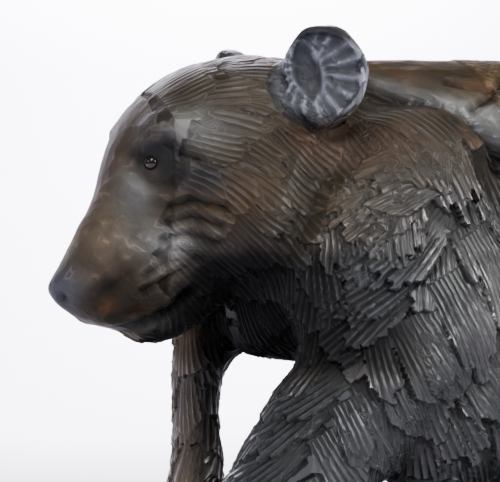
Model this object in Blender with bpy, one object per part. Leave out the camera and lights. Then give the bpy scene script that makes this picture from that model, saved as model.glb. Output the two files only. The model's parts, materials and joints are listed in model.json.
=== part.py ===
"""A standing bear with a salmon on its back, carved from one block of wood down to a low plinth.

Its eyes are glass beads. Metres, +Z up. The origin is the centre of the plinth's underside.
The bear faces -X and its left side faces -Y.
The figure is free form: its proportions are written in figure units, where FIGURE_LENGTH is 400 units, and
turned into metres at the end. The plinth's height, the eyes and their fit have sizes of their own.
"""

import math
import random

import bmesh
import bpy
import numpy as np
from mathutils import Matrix, Vector, kdtree

# Driving dimensions, in metres
FIGURE_LENGTH = 0.400  # from the nose to the rump
PLINTH_HEIGHT = 0.018
PLINTH_MARGIN = 0.012  # from the paws to the plinth's edge
EYE_DIAMETER = 0.0066
EYE_CLEARANCE = 0.0003  # all round the bead in its socket
EYE_PROUD = 0.0016  # how far the bead stands out of the wood

# Figure units, the scale that the free form is drawn in
FIGURE_UNITS = 400.0
UNIT = FIGURE_LENGTH / FIGURE_UNITS
FIGURE_X = -119.0  # the figure's own zero line, under the skull, in front of the plinth's centre
VOXEL = 2.4  # the grid on which the separate forms grow into one
CARVING_VOXEL = 1.7  # the finer grid that carries the carving
CLEANING_VOXEL = 1.4  # the grid that the carved skin is grown on once more
BLEND_PASSES = 16  # rounds of smoothing over the joints between forms
RING_POINTS = 28
BLOB_RINGS = 13
PLINTH_CORNERS = 48
PLINTH_CHAMFER = 3.0
PLINTH_FOOT_CHAMFER = 1.5
TRIANGLES = 8900  # of the finished wood

# The head's own frame: forward, left and up from the middle of the skull
SKULL = (7.0, 0.0, 193.0)
HEAD_TURN = math.radians(10)  # towards the bear's left


def head_matrix():
    """From (forward, left, up) in the head's frame to the figure's x, y and z."""
    c, s = math.cos(HEAD_TURN), math.sin(HEAD_TURN)
    forward, left = Vector((-c, -s, 0)), Vector((s, -c, 0))
    m = Matrix((forward, left, Vector((0, 0, 1)))).transposed().to_4x4()
    m.translation = SKULL
    return m


HEAD = head_matrix()


def smooth_rows(rows, per_span):
    """The rows, with more rows read between them from a Catmull-Rom curve."""
    rows = np.array(rows, float)
    padded = np.vstack([2 * rows[0] - rows[1], rows, 2 * rows[-1] - rows[-2]])
    found = []
    for i in range(len(rows) - 1):
        p0, p1, p2, p3 = padded[i : i + 4]
        for t in np.arange(per_span) / per_span:
            found.append(
                0.5 * (2 * p1 + (p2 - p0) * t + (2 * p0 - 5 * p1 + 4 * p2 - p3) * t**2
                       + (3 * p1 - p0 - 3 * p2 + p3) * t**3)
            )
    return np.array([*found, rows[-1]])


def skin_rings(bm, rings):
    """Faces between neighbouring rings of points, where a ring of one point is a tip, and over open ends."""
    rings = [[bm.verts.new(p) for p in ring] for ring in rings]
    count = max(len(ring) for ring in rings)
    for first, second in zip(rings, rings[1:]):
        for i in range(count):
            corners = [first[i % len(first)], first[(i + 1) % len(first)], second[(i + 1) % len(second)],
                       second[i % len(second)]]
            bm.faces.new(list(dict.fromkeys(corners)))
    for ring in (rings[0][::-1], rings[-1]):
        if len(ring) > 2:
            bm.faces.new(ring)


def loft(bm, sections, power=2.3, per_span=5, place=None):
    """A closed body through its sections: one edge point, the opposite one, and the half-width vector."""
    rows = smooth_rows([[*a, *b, *w] for a, b, w in sections], per_span)
    angles = np.arange(RING_POINTS) * 2 * math.pi / RING_POINTS
    along = np.sign(np.cos(angles)) * np.abs(np.cos(angles)) ** (2 / power)
    aside = np.sign(np.sin(angles)) * np.abs(np.sin(angles)) ** (2 / power)
    rings = []
    for row in rows:
        a, b, w = row[:3], row[3:6], row[6:]
        points = (a + b) / 2 + np.outer(along, (a - b) / 2) + np.outer(aside, w)
        rings.append([place @ Vector(p) if place else Vector(p) for p in points])
    skin_rings(bm, rings)


def blob(bm, centre, radii, place=None, turn=(0, 0, 0)):
    """An ellipsoid. Turn is in degrees about its own x, y and z."""
    m = Matrix.Translation(centre)
    for angle, axis in zip(turn, "XYZ"):
        m = m @ Matrix.Rotation(math.radians(angle), 4, axis)
    m = (place or Matrix()) @ m @ Matrix.Diagonal((*radii, 1))
    rings = []
    for i in range(BLOB_RINGS + 1):
        fall = math.pi * i / BLOB_RINGS
        turns = 1 if i in (0, BLOB_RINGS) else 2 * BLOB_RINGS
        rings.append([m @ Vector((math.sin(fall) * math.cos(math.pi * j / BLOB_RINGS),
                                  math.sin(fall) * math.sin(math.pi * j / BLOB_RINGS), math.cos(fall)))
                      for j in range(turns)])
    skin_rings(bm, rings)


def upright(rows, y=0.0):
    """Sections from rows of (top x, top z, bottom x, bottom z, half-width), in a plane at y."""
    return [((tx, y, tz), (bx, y, bz), (0, w, 0)) for tx, tz, bx, bz, w in rows]


def limb(rows):
    """Sections from rows of (front x, front z, rear x, rear z, y, half-width)."""
    return [((fx, y, fz), (rx, y, rz), (0, w, 0)) for fx, fz, rx, rz, y, w in rows]


def torso(bm):
    loft(bm, upright([
        (4, 172, 16, 128, 18),
        (8, 200, 18, 104, 38),
        (30, 212, 36, 92, 50),
        (58, 216, 60, 52, 58),
        (98, 212, 98, 38, 60),
        (146, 205, 146, 37, 60),
        (196, 206, 196, 44, 61),
        (245, 202, 240, 62, 57),
        (280, 186, 275, 92, 46),
        (300, 165, 297, 118, 28),
        (308, 152, 306, 138, 12),
    ]), 2.6)


def neck(bm):
    loft(bm, upright([
        (-6, 226, -12, 112, 38),
        (12, 229, -4, 101, 48),
        (34, 226, 8, 99, 54),
        (58, 220, 26, 98, 58),
        (84, 212, 60, 98, 56),
    ]))


def skull_and_muzzle(bm):
    """The head from its nose to its nape, as rows of (top f, top h, bottom f, bottom h, half-width)."""
    rows = [
        (102, -61, 99, -68, 6),
        (99, -56, 94, -72, 11),
        (94, -47, 84.5, -77, 16),
        (88.5, -37, 75, -80, 19.5),
        (83, -27, 63, -81, 22),
        (79, -18, 50, -80, 25),
        (76.5, -7, 38, -76, 29),
        (71.5, 7, 27, -68, 35),
        (62, 21, 15, -60, 41),
        (48, 32, 4, -52, 46),
        (29, 39.5, -10, -47, 49),
        (7, 42.5, -28, -42, 50),
        (-20, 40, -46, -36, 47),
    ]
    loft(bm, [((tf, 0, th), (bf, 0, bh), (0, w, 0)) for tf, th, bf, bh, w in rows], 2.3, place=HEAD)


def jaw(bm):
    rows = [
        (70, -78, 66, -84, 8),
        (68, -70, 60, -87.5, 13),
        (58, -64, 47, -85, 17),
        (44, -56, 34, -78, 21),
        (26, -44, 20, -62, 28),
    ]
    loft(bm, [((tf, 0, th), (bf, 0, bh), (0, w, 0)) for tf, th, bf, bh, w in rows], place=HEAD)


def face_forms(bm):
    """Brows, cheeks and lips on each side of the head."""
    for side in (1, -1):
        blob(bm, (55, 22 * side, 8), (16, 12, 9), HEAD, (0, 25, 0))
        blob(bm, (14, 30 * side, -26), (36, 24, 32), HEAD, (0, 10, 0))
        blob(bm, (-14, 34 * side, -18), (32, 22, 36), HEAD)
        blob(bm, (70, 10 * side, -66), (20, 12, 10), HEAD, (0, 35, 0))
    blob(bm, (96.5, 0, -61), (6.5, 8.5, 7), HEAD)


EAR_CENTRE = (-4.0, 51.0, 29.0)  # in the head's frame, on its left side
EAR_RADIUS = 21.8
EAR_FACES = (0.50, 0.85, 0.08)  # the way the cup opens
# From the middle of the cup's back, over its rim, to its bottom: share of the radius, then height
EAR_PROFILE = [
    (0, -8.0), (0.40, -8.0), (0.76, -5.5), (0.96, -1.0), (1.0, 3.0), (0.94, 6.4), (0.81, 6.0), (0.67, 3.4),
    (0.47, 1.6), (0.27, 0.8), (0, 0.6)]
EAR_CORNERS = 48
EAR_SINK = 6.5  # how far the rim's lower front bends back to the head
EAR_ROOT = (17, 16, 18)
EAR_HOLLOW = (5.5, 2.5)  # the middle of the deep hollow, forward and up from the cup's middle
EAR_HOLLOW_RADII = (6.2, 12.5)
EAR_HOLLOW_TILT = math.radians(-20)
EAR_HOLLOW_DEPTH = 4.6
EAR_FLUTES = 17  # gouge cuts that run from the hollow out to the rim
EAR_FLUTE_DEPTH = 1.5


def ear_frame(side):
    """The cup's middle, and its three directions: forward and up in its plane, and outward."""
    facing = Vector((EAR_FACES[0], EAR_FACES[1] * side, EAR_FACES[2])).normalized()
    ahead = Vector((facing.y * side, -facing.x * side, 0)).normalized()
    upward = facing.cross(ahead) * -side
    return Vector((EAR_CENTRE[0], EAR_CENTRE[1] * side, EAR_CENTRE[2])), ahead, upward, facing


def ear(bm, side):
    """A thick-rimmed cup, drawn down to a tip, whose rim sinks into the head at its lower front."""
    centre, ahead, upward, facing = ear_frame(side)
    rings = []
    for share, height in EAR_PROFILE:
        ring = []
        for i in range(EAR_CORNERS if share else 1):
            a = 2 * math.pi * i / EAR_CORNERS
            sunk = max(0.0, math.cos(a + math.radians(14))) ** 1.5
            tip = math.exp(-(((a - math.radians(258)) / 0.32) ** 2))
            shoulder = math.exp(-(((a - math.radians(55)) / 0.3) ** 2))
            wave = 0.015 * math.sin(7 * a)
            r = share * EAR_RADIUS * (1 - 0.24 * sunk + 0.12 * tip - 0.05 * shoulder + wave)
            z = height - EAR_SINK * sunk * share
            level = ahead * r * math.cos(a) + upward * r * math.sin(a) * 1.04
            ring.append(HEAD @ (centre + level + facing * z))
        rings.append(ring)
    skin_rings(bm, rings)
    # The root that joins the cup to the skull
    blob(bm, (EAR_CENTRE[0] - 1, (EAR_CENTRE[1] - 19) * side, EAR_CENTRE[2] - 6), EAR_ROOT, HEAD)


# Each paw: heel x, toe x, y, half-width and height
LEFT_FOREPAW = (14, -62, -57, 25, 26)
RIGHT_FOREPAW = (8, -54, 45, 22, 24)
LEFT_HIND_PAW = (310, 230, -53, 24, 24)
RIGHT_HIND_PAW = (256, 172, 53, 23, 24)


def paw(bm, heel, toe, y, half_width, height):
    """A flat foot from its heel to its toes, with four toe pads."""
    length = heel - toe
    loft(bm, [
        ((heel, y, height * 0.75), (heel, y, -1), (0, half_width * 0.55, 0)),
        ((heel - 0.15 * length, y, height * 1.05), (heel - 0.12 * length, y, -2), (0, half_width * 0.9, 0)),
        ((toe + 0.45 * length, y, height), (toe + 0.45 * length, y, -2), (0, half_width, 0)),
        ((toe + 0.18 * length, y, height * 0.62), (toe + 0.18 * length, y, -2), (0, half_width * 1.02, 0)),
    ], 2.8)
    for i in range(4):
        off = (i - 1.5) / 1.5
        blob(bm, (toe + (0.1 + 0.07 * off * off) * length, y + off * half_width * 0.74, height * 0.24),
             (0.15 * length, half_width * 0.3, height * 0.42))


def claws(bm, heel, toe, y, half_width, height):
    """Four long claws, one in front of each toe."""
    length = heel - toe
    for i in range(4):
        off = (i - 1.5) / 1.5
        blob(bm, (toe + (0.07 * off * off - 0.09) * length, y + off * half_width * 0.76, height * 0.17),
             (0.13 * length, 2.1, 3.0), turn=(0, -24, 6 * off))


def forelegs(bm):
    # The left one reaches forward under the shoulder
    loft(bm, limb([
        (6, 176, 96, 186, -38, 24),
        (-2, 140, 106, 140, -46, 27),
        (11, 106, 92, 100, -52, 27),
        (-3, 86, 72, 80, -54, 25),
        (-17, 62, 54, 60, -56, 23),
        (-30, 40, 32, 38, -57, 22),
        (-40, 20, 10, 16, -57, 22),
        (-42, 8, 8, 6, -57, 21),
    ]))
    paw(bm, *LEFT_FOREPAW)
    # The right one stands straight and slender
    loft(bm, limb([
        (-12, 168, 70, 172, 34, 25),
        (-24, 136, 48, 128, 38, 24),
        (-28, 108, 4, 100, 42, 21),
        (-28, 82, -6, 80, 44, 19),
        (-28, 50, -4, 50, 45, 19),
        (-34, 24, 0, 22, 45, 20),
        (-35, 8, 2, 6, 45, 20),
    ]))
    paw(bm, *RIGHT_FOREPAW)


def hind_legs(bm):
    loft(bm, limb([
        (200, 172, 296, 176, -38, 24),
        (206, 128, 308, 132, -47, 28),
        (224, 92, 306, 88, -51, 27),
        (250, 62, 308, 52, -53, 22),
        (262, 36, 306, 28, -53, 20),
        (262, 10, 308, 8, -53, 20),
    ]))
    paw(bm, *LEFT_HIND_PAW)
    loft(bm, limb([
        (190, 170, 284, 174, 38, 24),
        (182, 128, 278, 126, 47, 28),
        (184, 92, 262, 86, 51, 26),
        (198, 62, 254, 52, 53, 21),
        (206, 36, 250, 28, 53, 19),
        (206, 10, 252, 8, 53, 19),
    ]))
    paw(bm, *RIGHT_HIND_PAW)
    blob(bm, (309, 0, 150), (13, 10, 16), turn=(0, -20, 0))


def shoulders(bm):
    blob(bm, (62, -40, 158), (46, 28, 56), turn=(0, 18, 0))
    blob(bm, (74, -45, 78), (37, 25, 40))
    blob(bm, (44, 36, 152), (50, 28, 52), turn=(0, 12, 0))
    blob(bm, (246, -38, 146), (50, 28, 46))
    blob(bm, (228, 38, 146), (50, 28, 46))


FISH_BELLY = Vector((0.0, -0.80, -0.60)).normalized()  # the way the belly hangs
FISH_SPINE = [(34, -7, 229), (62, -16, 223.5), (100, -25, 215), (150, -27, 209), (205, -24, 204),
              (255, -15, 198), (292, -6, 187), (322, 0, 172)]
FISH_ROWS = [  # half-depth to the back, half-depth to the belly, half-thickness
    (4, 4, 4), (13, 17, 10), (25, 29, 15), (33, 37, 18), (29, 33, 17), (16, 18, 12), (10, 11, 7), (27, 27, 4)]


FISH_FINS = [  # first and last share of the length, towards the back (-1) or the belly (1), and height
    (0.40, 0.56, -1, 9), (0.72, 0.79, -1, 6), (0.66, 0.76, 1, 7)]
FISH_FIN_THICKNESS = 1.7


def fish_frames(per_span):
    """Along the fish: the spine, the ways along, to the belly and out of the flank, and the sizes."""
    rows = smooth_rows([[*p, *sizes] for p, sizes in zip(FISH_SPINE, FISH_ROWS)], per_span)
    frames = []
    for i, row in enumerate(rows):
        tangent = Vector(rows[min(i + 1, len(rows) - 1)][:3] - rows[max(i - 1, 0)][:3]).normalized()
        depth = (FISH_BELLY - tangent * FISH_BELLY.dot(tangent)).normalized()
        frames.append((Vector(row[:3]), tangent, depth, depth.cross(tangent).normalized(), row[3:]))
    return frames


def salmon(bm):
    loft(bm, [(place - depth * back, place + depth * belly, flank * thick)
              for place, _, depth, flank, (back, belly, thick) in fish_frames(1)], 2.1)
    frames = fish_frames(12)
    for first, last, edge, height in FISH_FINS:
        chosen = frames[round(first * (len(frames) - 1)) : round(last * (len(frames) - 1)) + 1]
        sections = []
        for i, (place, tangent, depth, flank, sizes) in enumerate(chosen):
            share = i / (len(chosen) - 1)
            half = sizes[0] if edge < 0 else sizes[1]
            rise = height * math.sin(math.pi * min(share * 1.6, 1) / 2) * (1 - share) ** 0.4
            base = place + depth * edge * half * 0.7
            sections.append((base, place + depth * edge * (half + rise) + tangent * rise * 0.5,
                             flank * FISH_FIN_THICKNESS))
        loft(bm, sections, 2.0, 1)


def plinth_outline(inset):
    """The plinth's edge in plan: a long oval with squared ends, a margin outside the paws."""
    half_length, half_width = (192 + PLINTH_MARGIN / UNIT - inset, 80 + PLINTH_MARGIN / UNIT - inset)
    points = []
    for i in range(PLINTH_CORNERS):
        a = 2 * math.pi * i / PLINTH_CORNERS
        c, s = math.cos(a), math.sin(a)
        wave = 1 + 0.012 * math.sin(5 * a + 0.6) + 0.008 * math.sin(9 * a)
        points.append((-FIGURE_X + half_length * wave * math.copysign(abs(c) ** 0.55, c),
                       -5 + half_width * wave * math.copysign(abs(s) ** 0.55, s)))
    return points


def plinth():
    """The low plinth, with its foot and its upper edge chamfered by the knife."""
    height = PLINTH_HEIGHT / UNIT
    bm = bmesh.new()
    levels = ((-height, PLINTH_FOOT_CHAMFER), (-height + PLINTH_FOOT_CHAMFER, 0), (-PLINTH_CHAMFER, 0),
              (0, PLINTH_CHAMFER))
    skin_rings(bm, [[(x, y, z) for x, y in plinth_outline(inset)] for z, inset in levels])
    return named_object("plinth", bm)


def named_object(name, bm):
    """An object from the bmesh, which is in figure units, at its real size and place."""
    bmesh.ops.recalc_face_normals(bm, faces=bm.faces)
    bmesh.ops.transform(bm, matrix=TO_WORLD, verts=bm.verts)
    mesh = bpy.data.meshes.new(name)
    bm.to_mesh(mesh)
    bm.free()
    obj = bpy.data.objects.new(name, mesh)
    bpy.context.scene.collection.objects.link(obj)
    return obj


TO_WORLD = (Matrix.Translation((FIGURE_X * UNIT, 0, PLINTH_HEIGHT)) @ Matrix.Scale(UNIT, 4))


def grown(bm, voxel):
    """The forms of the bmesh, grown into one skin on a voxel grid, as a mesh with no hidden pockets."""
    bmesh.ops.recalc_face_normals(bm, faces=bm.faces)
    mesh = bpy.data.meshes.new("forms")
    bm.to_mesh(mesh)
    bm.free()
    block = bpy.data.objects.new("forms", mesh)
    bpy.context.scene.collection.objects.link(block)
    remesh = block.modifiers.new("grow together", "REMESH")
    remesh.mode = "VOXEL"
    remesh.voxel_size = voxel
    skin = bpy.data.meshes.new_from_object(block.evaluated_get(bpy.context.evaluated_depsgraph_get()))
    bpy.data.objects.remove(block)
    bpy.data.meshes.remove(mesh)
    return skin


def read_points(mesh):
    points = np.empty(len(mesh.vertices) * 3, np.float32)
    mesh.vertices.foreach_get("co", points)
    return points.reshape(-1, 3).astype(float)


def write_points(mesh, points):
    mesh.vertices.foreach_set("co", points.astype(np.float32).ravel())
    mesh.update()


def read_normals(mesh):
    normals = np.empty(len(mesh.vertices) * 3, np.float32)
    mesh.vertex_normals.foreach_get("vector", normals)
    return normals.reshape(-1, 3).astype(float)


def smoothed(mesh, values, passes):
    """Per-vertex values, each moved halfway to its neighbours' average, several times over."""
    edges = np.empty(len(mesh.edges) * 2, np.int32)
    mesh.edges.foreach_get("vertices", edges)
    first, second = edges.reshape(-1, 2).T
    count = np.bincount(first, minlength=len(values)) + np.bincount(second, minlength=len(values))
    for _ in range(passes):
        total = np.column_stack([
            np.bincount(first, column[second], len(column)) + np.bincount(second, column[first], len(column))
            for column in values.T
        ])
        values = 0.5 * values + 0.5 * total / count[:, None]
    return values


# The lip of the trench that the fish lies in, on the near side of the back: x, then y and z
TRENCH_LIP = [(46, -24, 217), (60, -32, 211), (71, -39, 203.5), (82, -46, 195), (94, -52, 186),
              (108, -54, 179), (130, -55, 174), (165, -55, 171), (210, -54, 170), (250, -50, 171),
              (270, -44, 172)]
TRENCH_DEPTH = 5.0
TRENCH_WIDTH = 13.0
TRENCH_SLOPE = 0.8  # of its inner side, up to the fish's belly


def cut_trench(points):
    """Lowers the back between the lip and the fish, so that the fish's belly overhangs a trench."""
    x, y, z = points.T
    path = np.array(TRENCH_LIP, float)
    inward = y - np.interp(x, path[:, 0], path[:, 1])
    level = np.interp(x, path[:, 0], path[:, 2]) - TRENCH_DEPTH * smooth_step(0, 5, inward)
    level += TRENCH_SLOPE * np.clip(inward - TRENCH_WIDTH, 0, None)
    away = 1 - smooth_step(-3, 0, inward) + 1 - smooth_step(path[0, 0], path[1, 0], x) + \
        smooth_step(path[-2, 0], path[-1, 0], x)
    points[:, 2] = np.minimum(z, level + FIGURE_UNITS * away)


def body_mesh():
    """The animal without its ears: grown together, softened, and with its back cut for the fish."""
    bm = bmesh.new()
    for form in (torso, neck, skull_and_muzzle, jaw, face_forms, forelegs, hind_legs, shoulders):
        form(bm)
    mesh = grown(bm, VOXEL)
    points = smoothed(mesh, read_points(mesh), BLEND_PASSES)
    cut_trench(points)
    write_points(mesh, points)
    return mesh


def smooth_step(low, high, values):
    t = np.clip((values - low) / (high - low), 0, 1)
    return t * t * (3 - 2 * t)


def head_places(points):
    """The points in the head's frame, as columns forward, left and up."""
    inverse = np.array(HEAD.inverted())
    return points @ inverse[:3, :3].T + inverse[:3, 3]


def path_distance(points, path):
    """The distance from each point to a chain of straight runs."""
    path = [np.array(p, float) for p in path]
    nearest = np.full(len(points), 1e9)
    for a, b in zip(path, path[1:]):
        t = np.clip((points - a) @ (b - a) / ((b - a) @ (b - a)), 0, 1)
        nearest = np.minimum(nearest, np.linalg.norm(points - a - t[:, None] * (b - a), axis=1))
    return nearest


def press(points, normals, where, centre, radius, depth):
    """Moves the skin near a centre inwards, or outwards where the depth is negative."""
    gap = np.linalg.norm(where - np.array(centre, float), axis=1) / radius
    points -= normals * (depth * np.exp(-2 * gap**2))[:, None]


def groove(points, normals, where, path, width, depth):
    """Cuts a V along a path, as deep as the depth at its middle."""
    cut = np.clip(1 - path_distance(where, path) / width, 0, None)
    points -= normals * (depth * cut)[:, None]


def hollow(points, normals, where, centre, radii, depth):
    """Sinks an oval patch, with a steep rim all round it."""
    reach = np.linalg.norm((where - np.array(centre, float)) / np.array(radii, float), axis=1)
    points -= normals * (depth * (1 - smooth_step(0.55, 1.0, reach)))[:, None]


EYE = (63.0, 25.0, -7.5)  # the bead's own place in the head's frame, on its left side
FACE_SIDE = 9.0  # how far off the face's middle line the carving of its two sides starts

# Cuts on the side of the face, as forward and up in the head's frame
MOUTH_LINE = [(77, -83), (68, -80), (60, -75.5), (51, -70), (44, -63)]
LIP_EDGE = [(58, -38), (64, -51), (72, -55.5), (82, -62), (90, -69)]
BROW_CREASE = [(73, -2), (69, 4), (61, 4.5), (54, -1), (48, -7)]
CHEEK_FOLDS = [
    [(57, -27), (49, -24), (38, -27)], [(57, -34), (49, -31), (39, -35)], [(58, -41), (50, -38), (40, -42)],
    [(60, -48), (52, -45), (43, -49)], [(64, -56), (56, -50), (46, -50)], [(65, -63), (56, -57), (48, -53)]]


def carve_face(points, normals):
    """Sockets, brow, tear troughs, mouth line, lips, cheek folds and nostrils, on both sides of the head."""
    where = head_places(points)
    aside = smooth_step(FACE_SIDE, FACE_SIDE + 6, np.abs(where[:, 1]))
    flat = where * (1, 0, 1)

    def cut(path, width, depth):
        groove(points, normals, flat, [(f, 0, h) for f, h in path], width, depth * aside)

    hollow(points, normals, flat, (61.5, 0, -9), (13, 1, 13.5), 3.0 * aside)
    press(points, normals, flat, (66, 0, -27), 12, 2.6 * aside)
    press(points, normals, flat, (54, 0, 10), 9, -1.8 * aside)
    press(points, normals, flat, (30, 0, -4), 20, 2.0 * aside)
    press(points, normals, flat, (86, 0, -68), 9, -1.2 * aside)
    cut(BROW_CREASE, 4.5, 1.6)
    cut(LIP_EDGE, 6.5, 1.7)
    cut(MOUTH_LINE, 4.0, 3.2)
    for fold in CHEEK_FOLDS:
        cut(fold, 3.2, 1.8)
    for side in (1, -1):
        press(points, normals, where, (EYE[0], EYE[1] * side, EYE[2]), 6, 1.6)
        press(points, normals, where, (98, 7.5 * side, -66), 4, 2.4)
    press(points, normals, where, (88, 0, -33), 9, -1.0)


def carve_ears(points, normals):
    """The deep oval hollow inside each ear, and the gouge cuts that run from it out to the rim."""
    where, skull = head_places(points), np.array(HEAD.to_3x3().inverted())
    for side in (1, -1):
        centre, ahead, upward, facing = (np.array(v) for v in ear_frame(side))
        offset = where - centre
        level = np.column_stack([offset @ ahead, offset @ upward])
        inner = smooth_step(0.1, 0.4, normals @ skull.T @ facing) * (np.abs(offset @ facing) < EAR_RADIUS / 2)
        inner = inner * (1 - smooth_step(0.74, 0.84, np.linalg.norm(level, axis=1) / EAR_RADIUS))
        level = level - EAR_HOLLOW
        c, s = math.cos(EAR_HOLLOW_TILT), math.sin(EAR_HOLLOW_TILT)
        tilted = level @ np.array(((c, -s), (s, c))) / EAR_HOLLOW_RADII
        reach = np.linalg.norm(tilted, axis=1)
        deep = EAR_HOLLOW_DEPTH * np.clip(1 - reach**2, 0, None)
        flute = EAR_FLUTE_DEPTH * np.abs(np.sin(EAR_FLUTES * np.arctan2(level[:, 1], level[:, 0]) / 2))
        points -= normals * ((deep + flute * smooth_step(0.9, 1.2, reach)) * inner)[:, None]


def carve_body(points, normals):
    """The hollows that part the big masses, behind the shoulder, before the thigh and at the neck."""
    for side in (1, -1):
        flip = np.array((1, side, 1))
        groove(points, normals, points, [(92, -60, 178) * flip, (112, -62, 150) * flip,
                                         (120, -60, 118) * flip,
                                         (116, -55, 84) * flip], 15, 5.0)
        groove(points, normals, points, [(196, -60, 160) * flip, (192, -62, 118) * flip,
                                         (206, -58, 78) * flip],
               15, 4.5)
        groove(points, normals, points, [(22, -58, 196) * flip, (14, -56, 168) * flip, (4, -50, 138) * flip],
               11, 3.6)
        groove(points, normals, points, [(0, -30, 128) * flip, (14, -44, 116) * flip, (22, -56, 104) * flip],
               10, 3.0)


# Cuts on the near side of the fish, as x and z
FISH_MOUTH = [(80, 222), (90, 219.5), (99, 219)]
FISH_GILL = [(88, 209), (95, 214), (104, 221), (110, 228)]


def carve_salmon(points, normals):
    """The gill cover and the mouth."""
    flat = points * (1, 0, 1)
    near_side = smooth_step(4, 10, -points[:, 1])

    def cut(path, width, depth):
        groove(points, normals, flat, [(x, 0, z) for x, z in path], width, depth * near_side)

    cut(FISH_MOUTH, 2.6, 1.5)
    cut(FISH_GILL, 3.6, 2.4)
    groove(points, normals, points, [(110, 5, 230), (104, 14, 216)], 4.0, 2.4)


FLOW = [  # where the hair grows and which way, on the left side: place, then direction
    ((-52, -20, 222), (0.80, 0.00, 0.45)), ((-25, -20, 236), (1.00, 0.00, 0.10)),
    ((-40, -42, 200), (0.95, 0.00, 0.00)), ((-28, -46, 182), (0.90, 0.00, -0.45)),
    ((-5, -50, 205), (0.85, 0.00, -0.45)), ((-12, -50, 160), (0.70, 0.00, -0.70)),
    ((12, -54, 180), (0.50, 0.00, -0.85)), ((-30, -30, 140), (0.75, 0.00, -0.60)),
    ((36, -56, 206), (0.45, 0.00, -0.90)), ((40, -60, 170), (-0.05, 0.00, -1.00)),
    ((14, -50, 130), (-0.55, 0.00, -0.80)), ((30, -62, 130), (-0.65, 0.00, -0.75)),
    ((66, -62, 186), (0.40, 0.00, -0.90)), ((72, -64, 140), (0.60, 0.00, -0.80)),
    ((84, -60, 108), (0.55, 0.00, -0.80)), ((4, -70, 88), (-0.85, 0.00, -0.50)),
    ((48, -74, 92), (0.35, 0.00, -0.90)), ((-22, -70, 50), (-0.70, 0.00, -0.70)),
    ((20, -74, 50), (0.20, 0.00, -0.95)), ((110, -60, 170), (0.55, 0.00, -0.80)),
    ((125, -60, 120), (0.20, 0.00, -1.00)), ((160, -60, 160), (0.85, 0.00, -0.50)),
    ((160, -60, 100), (0.85, 0.00, -0.50)), ((160, -30, 50), (1.00, 0.00, -0.10)),
    ((225, -60, 165), (0.80, 0.00, -0.60)), ((230, -70, 110), (0.25, 0.00, -0.95)),
    ((285, -60, 120), (0.55, 0.00, -0.85)), ((290, -40, 165), (0.80, 0.00, -0.60)),
    ((260, -70, 50), (-0.40, 0.00, -0.90)), ((295, -70, 50), (0.30, 0.00, -0.95)),
    ((60, 0, 222), (1.00, 0.00, 0.00)), ((-12, -10, 118), (0.10, -0.30, -0.95)),
    ((-10, 45, 80), (0.10, 0.00, -1.00)),
]
FLOW_REACH = 24.0


PARTING = [(78, 186), (62, 152), (40, 115), (17, 77), (-4, 46)]  # down the shoulder and foreleg, as x and z
PARTING_REACH = 26.0
BEFORE_PARTING = (-0.84, 0.0, -0.54)
BEHIND_PARTING = (0.46, 0.0, -0.89)


def parting_flow(points, flow):
    """Turns the hair away from the parting: forward and down before it, back and down behind it."""
    flat = np.column_stack([points[:, 0], points[:, 2]])
    nearest, side = np.full(len(points), 1e9), np.zeros(len(points))
    for a, b in zip(np.array(PARTING, float), np.array(PARTING[1:], float)):
        t = np.clip((flat - a) @ (b - a) / ((b - a) @ (b - a)), 0, 1)
        off = flat - a - t[:, None] * (b - a)
        gap = np.linalg.norm(off, axis=1)
        closer = gap < nearest
        nearest[closer] = gap[closer]
        side[closer] = np.sign(off[:, 0])[closer] * gap[closer]
    turn = smooth_step(-2.5, 2.5, side)[:, None]
    parted = np.array(BEFORE_PARTING) * (1 - turn) + np.array(BEHIND_PARTING) * turn
    beside = smooth_step(20, 36, np.abs(points[:, 1]))
    share = (1 - smooth_step(0.5 * PARTING_REACH, PARTING_REACH, nearest)) * beside
    return flow + (parted - flow) * share[:, None]


def hair_flow(points):
    """The way the hair lies at each point, the same on both sides."""
    total = np.zeros((len(points), 3))
    for place, way in FLOW:
        for side in (1, -1):
            flip = np.array((1, side, 1))
            gap = ((points - np.array(place) * flip) ** 2).sum(1)
            total += np.outer(np.exp(-gap / (2 * FLOW_REACH**2)) + 1e-9 / (1 + gap), np.array(way) * flip)
    flow = parting_flow(points, total / np.linalg.norm(total, axis=1)[:, None])
    return flow / np.linalg.norm(flow, axis=1)[:, None]


def hair_cover(points):
    """How much hair each point carries, from 0 on the muzzle, ears, fish and toes to 1."""
    f, l, h = head_places(points).T
    bare = smooth_step(51, 58, f - 0.15 * np.clip(h, 0, None)) * smooth_step(-108, -96, h)
    ear_gap = np.sqrt((f - EAR_CENTRE[0]) ** 2 + (np.abs(l) - EAR_CENTRE[1]) ** 2 + (h - EAR_CENTRE[2]) ** 2)
    bare = np.maximum(bare, 1 - smooth_step(EAR_RADIUS - 2, EAR_RADIUS + 4, ear_gap))
    bare = np.maximum(bare, 1 - smooth_step(30, 38, path_distance(points, FISH_SPINE)))
    return (1 - bare) * smooth_step(8, 26, points[:, 2])


LOCK_LENGTH = 44.0
LOCK_WIDTH = 26.0
LOCK_SPACING = 21.0
LOCK_STRANDS = 3
LOCK_TRIALS = 14000  # places tried for a root
LOCK_RISE = 4.2  # from a lock's root to its tip
LOCK_LEVEL = 0.55  # the share of the rise that lies under the skin
LOCK_CUT = 2.2  # the depth of the trough down each strand
LOCK_SOFTENING = 1
HEAD_LOCKS = 0.62  # how much smaller the locks are on the head


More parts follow.
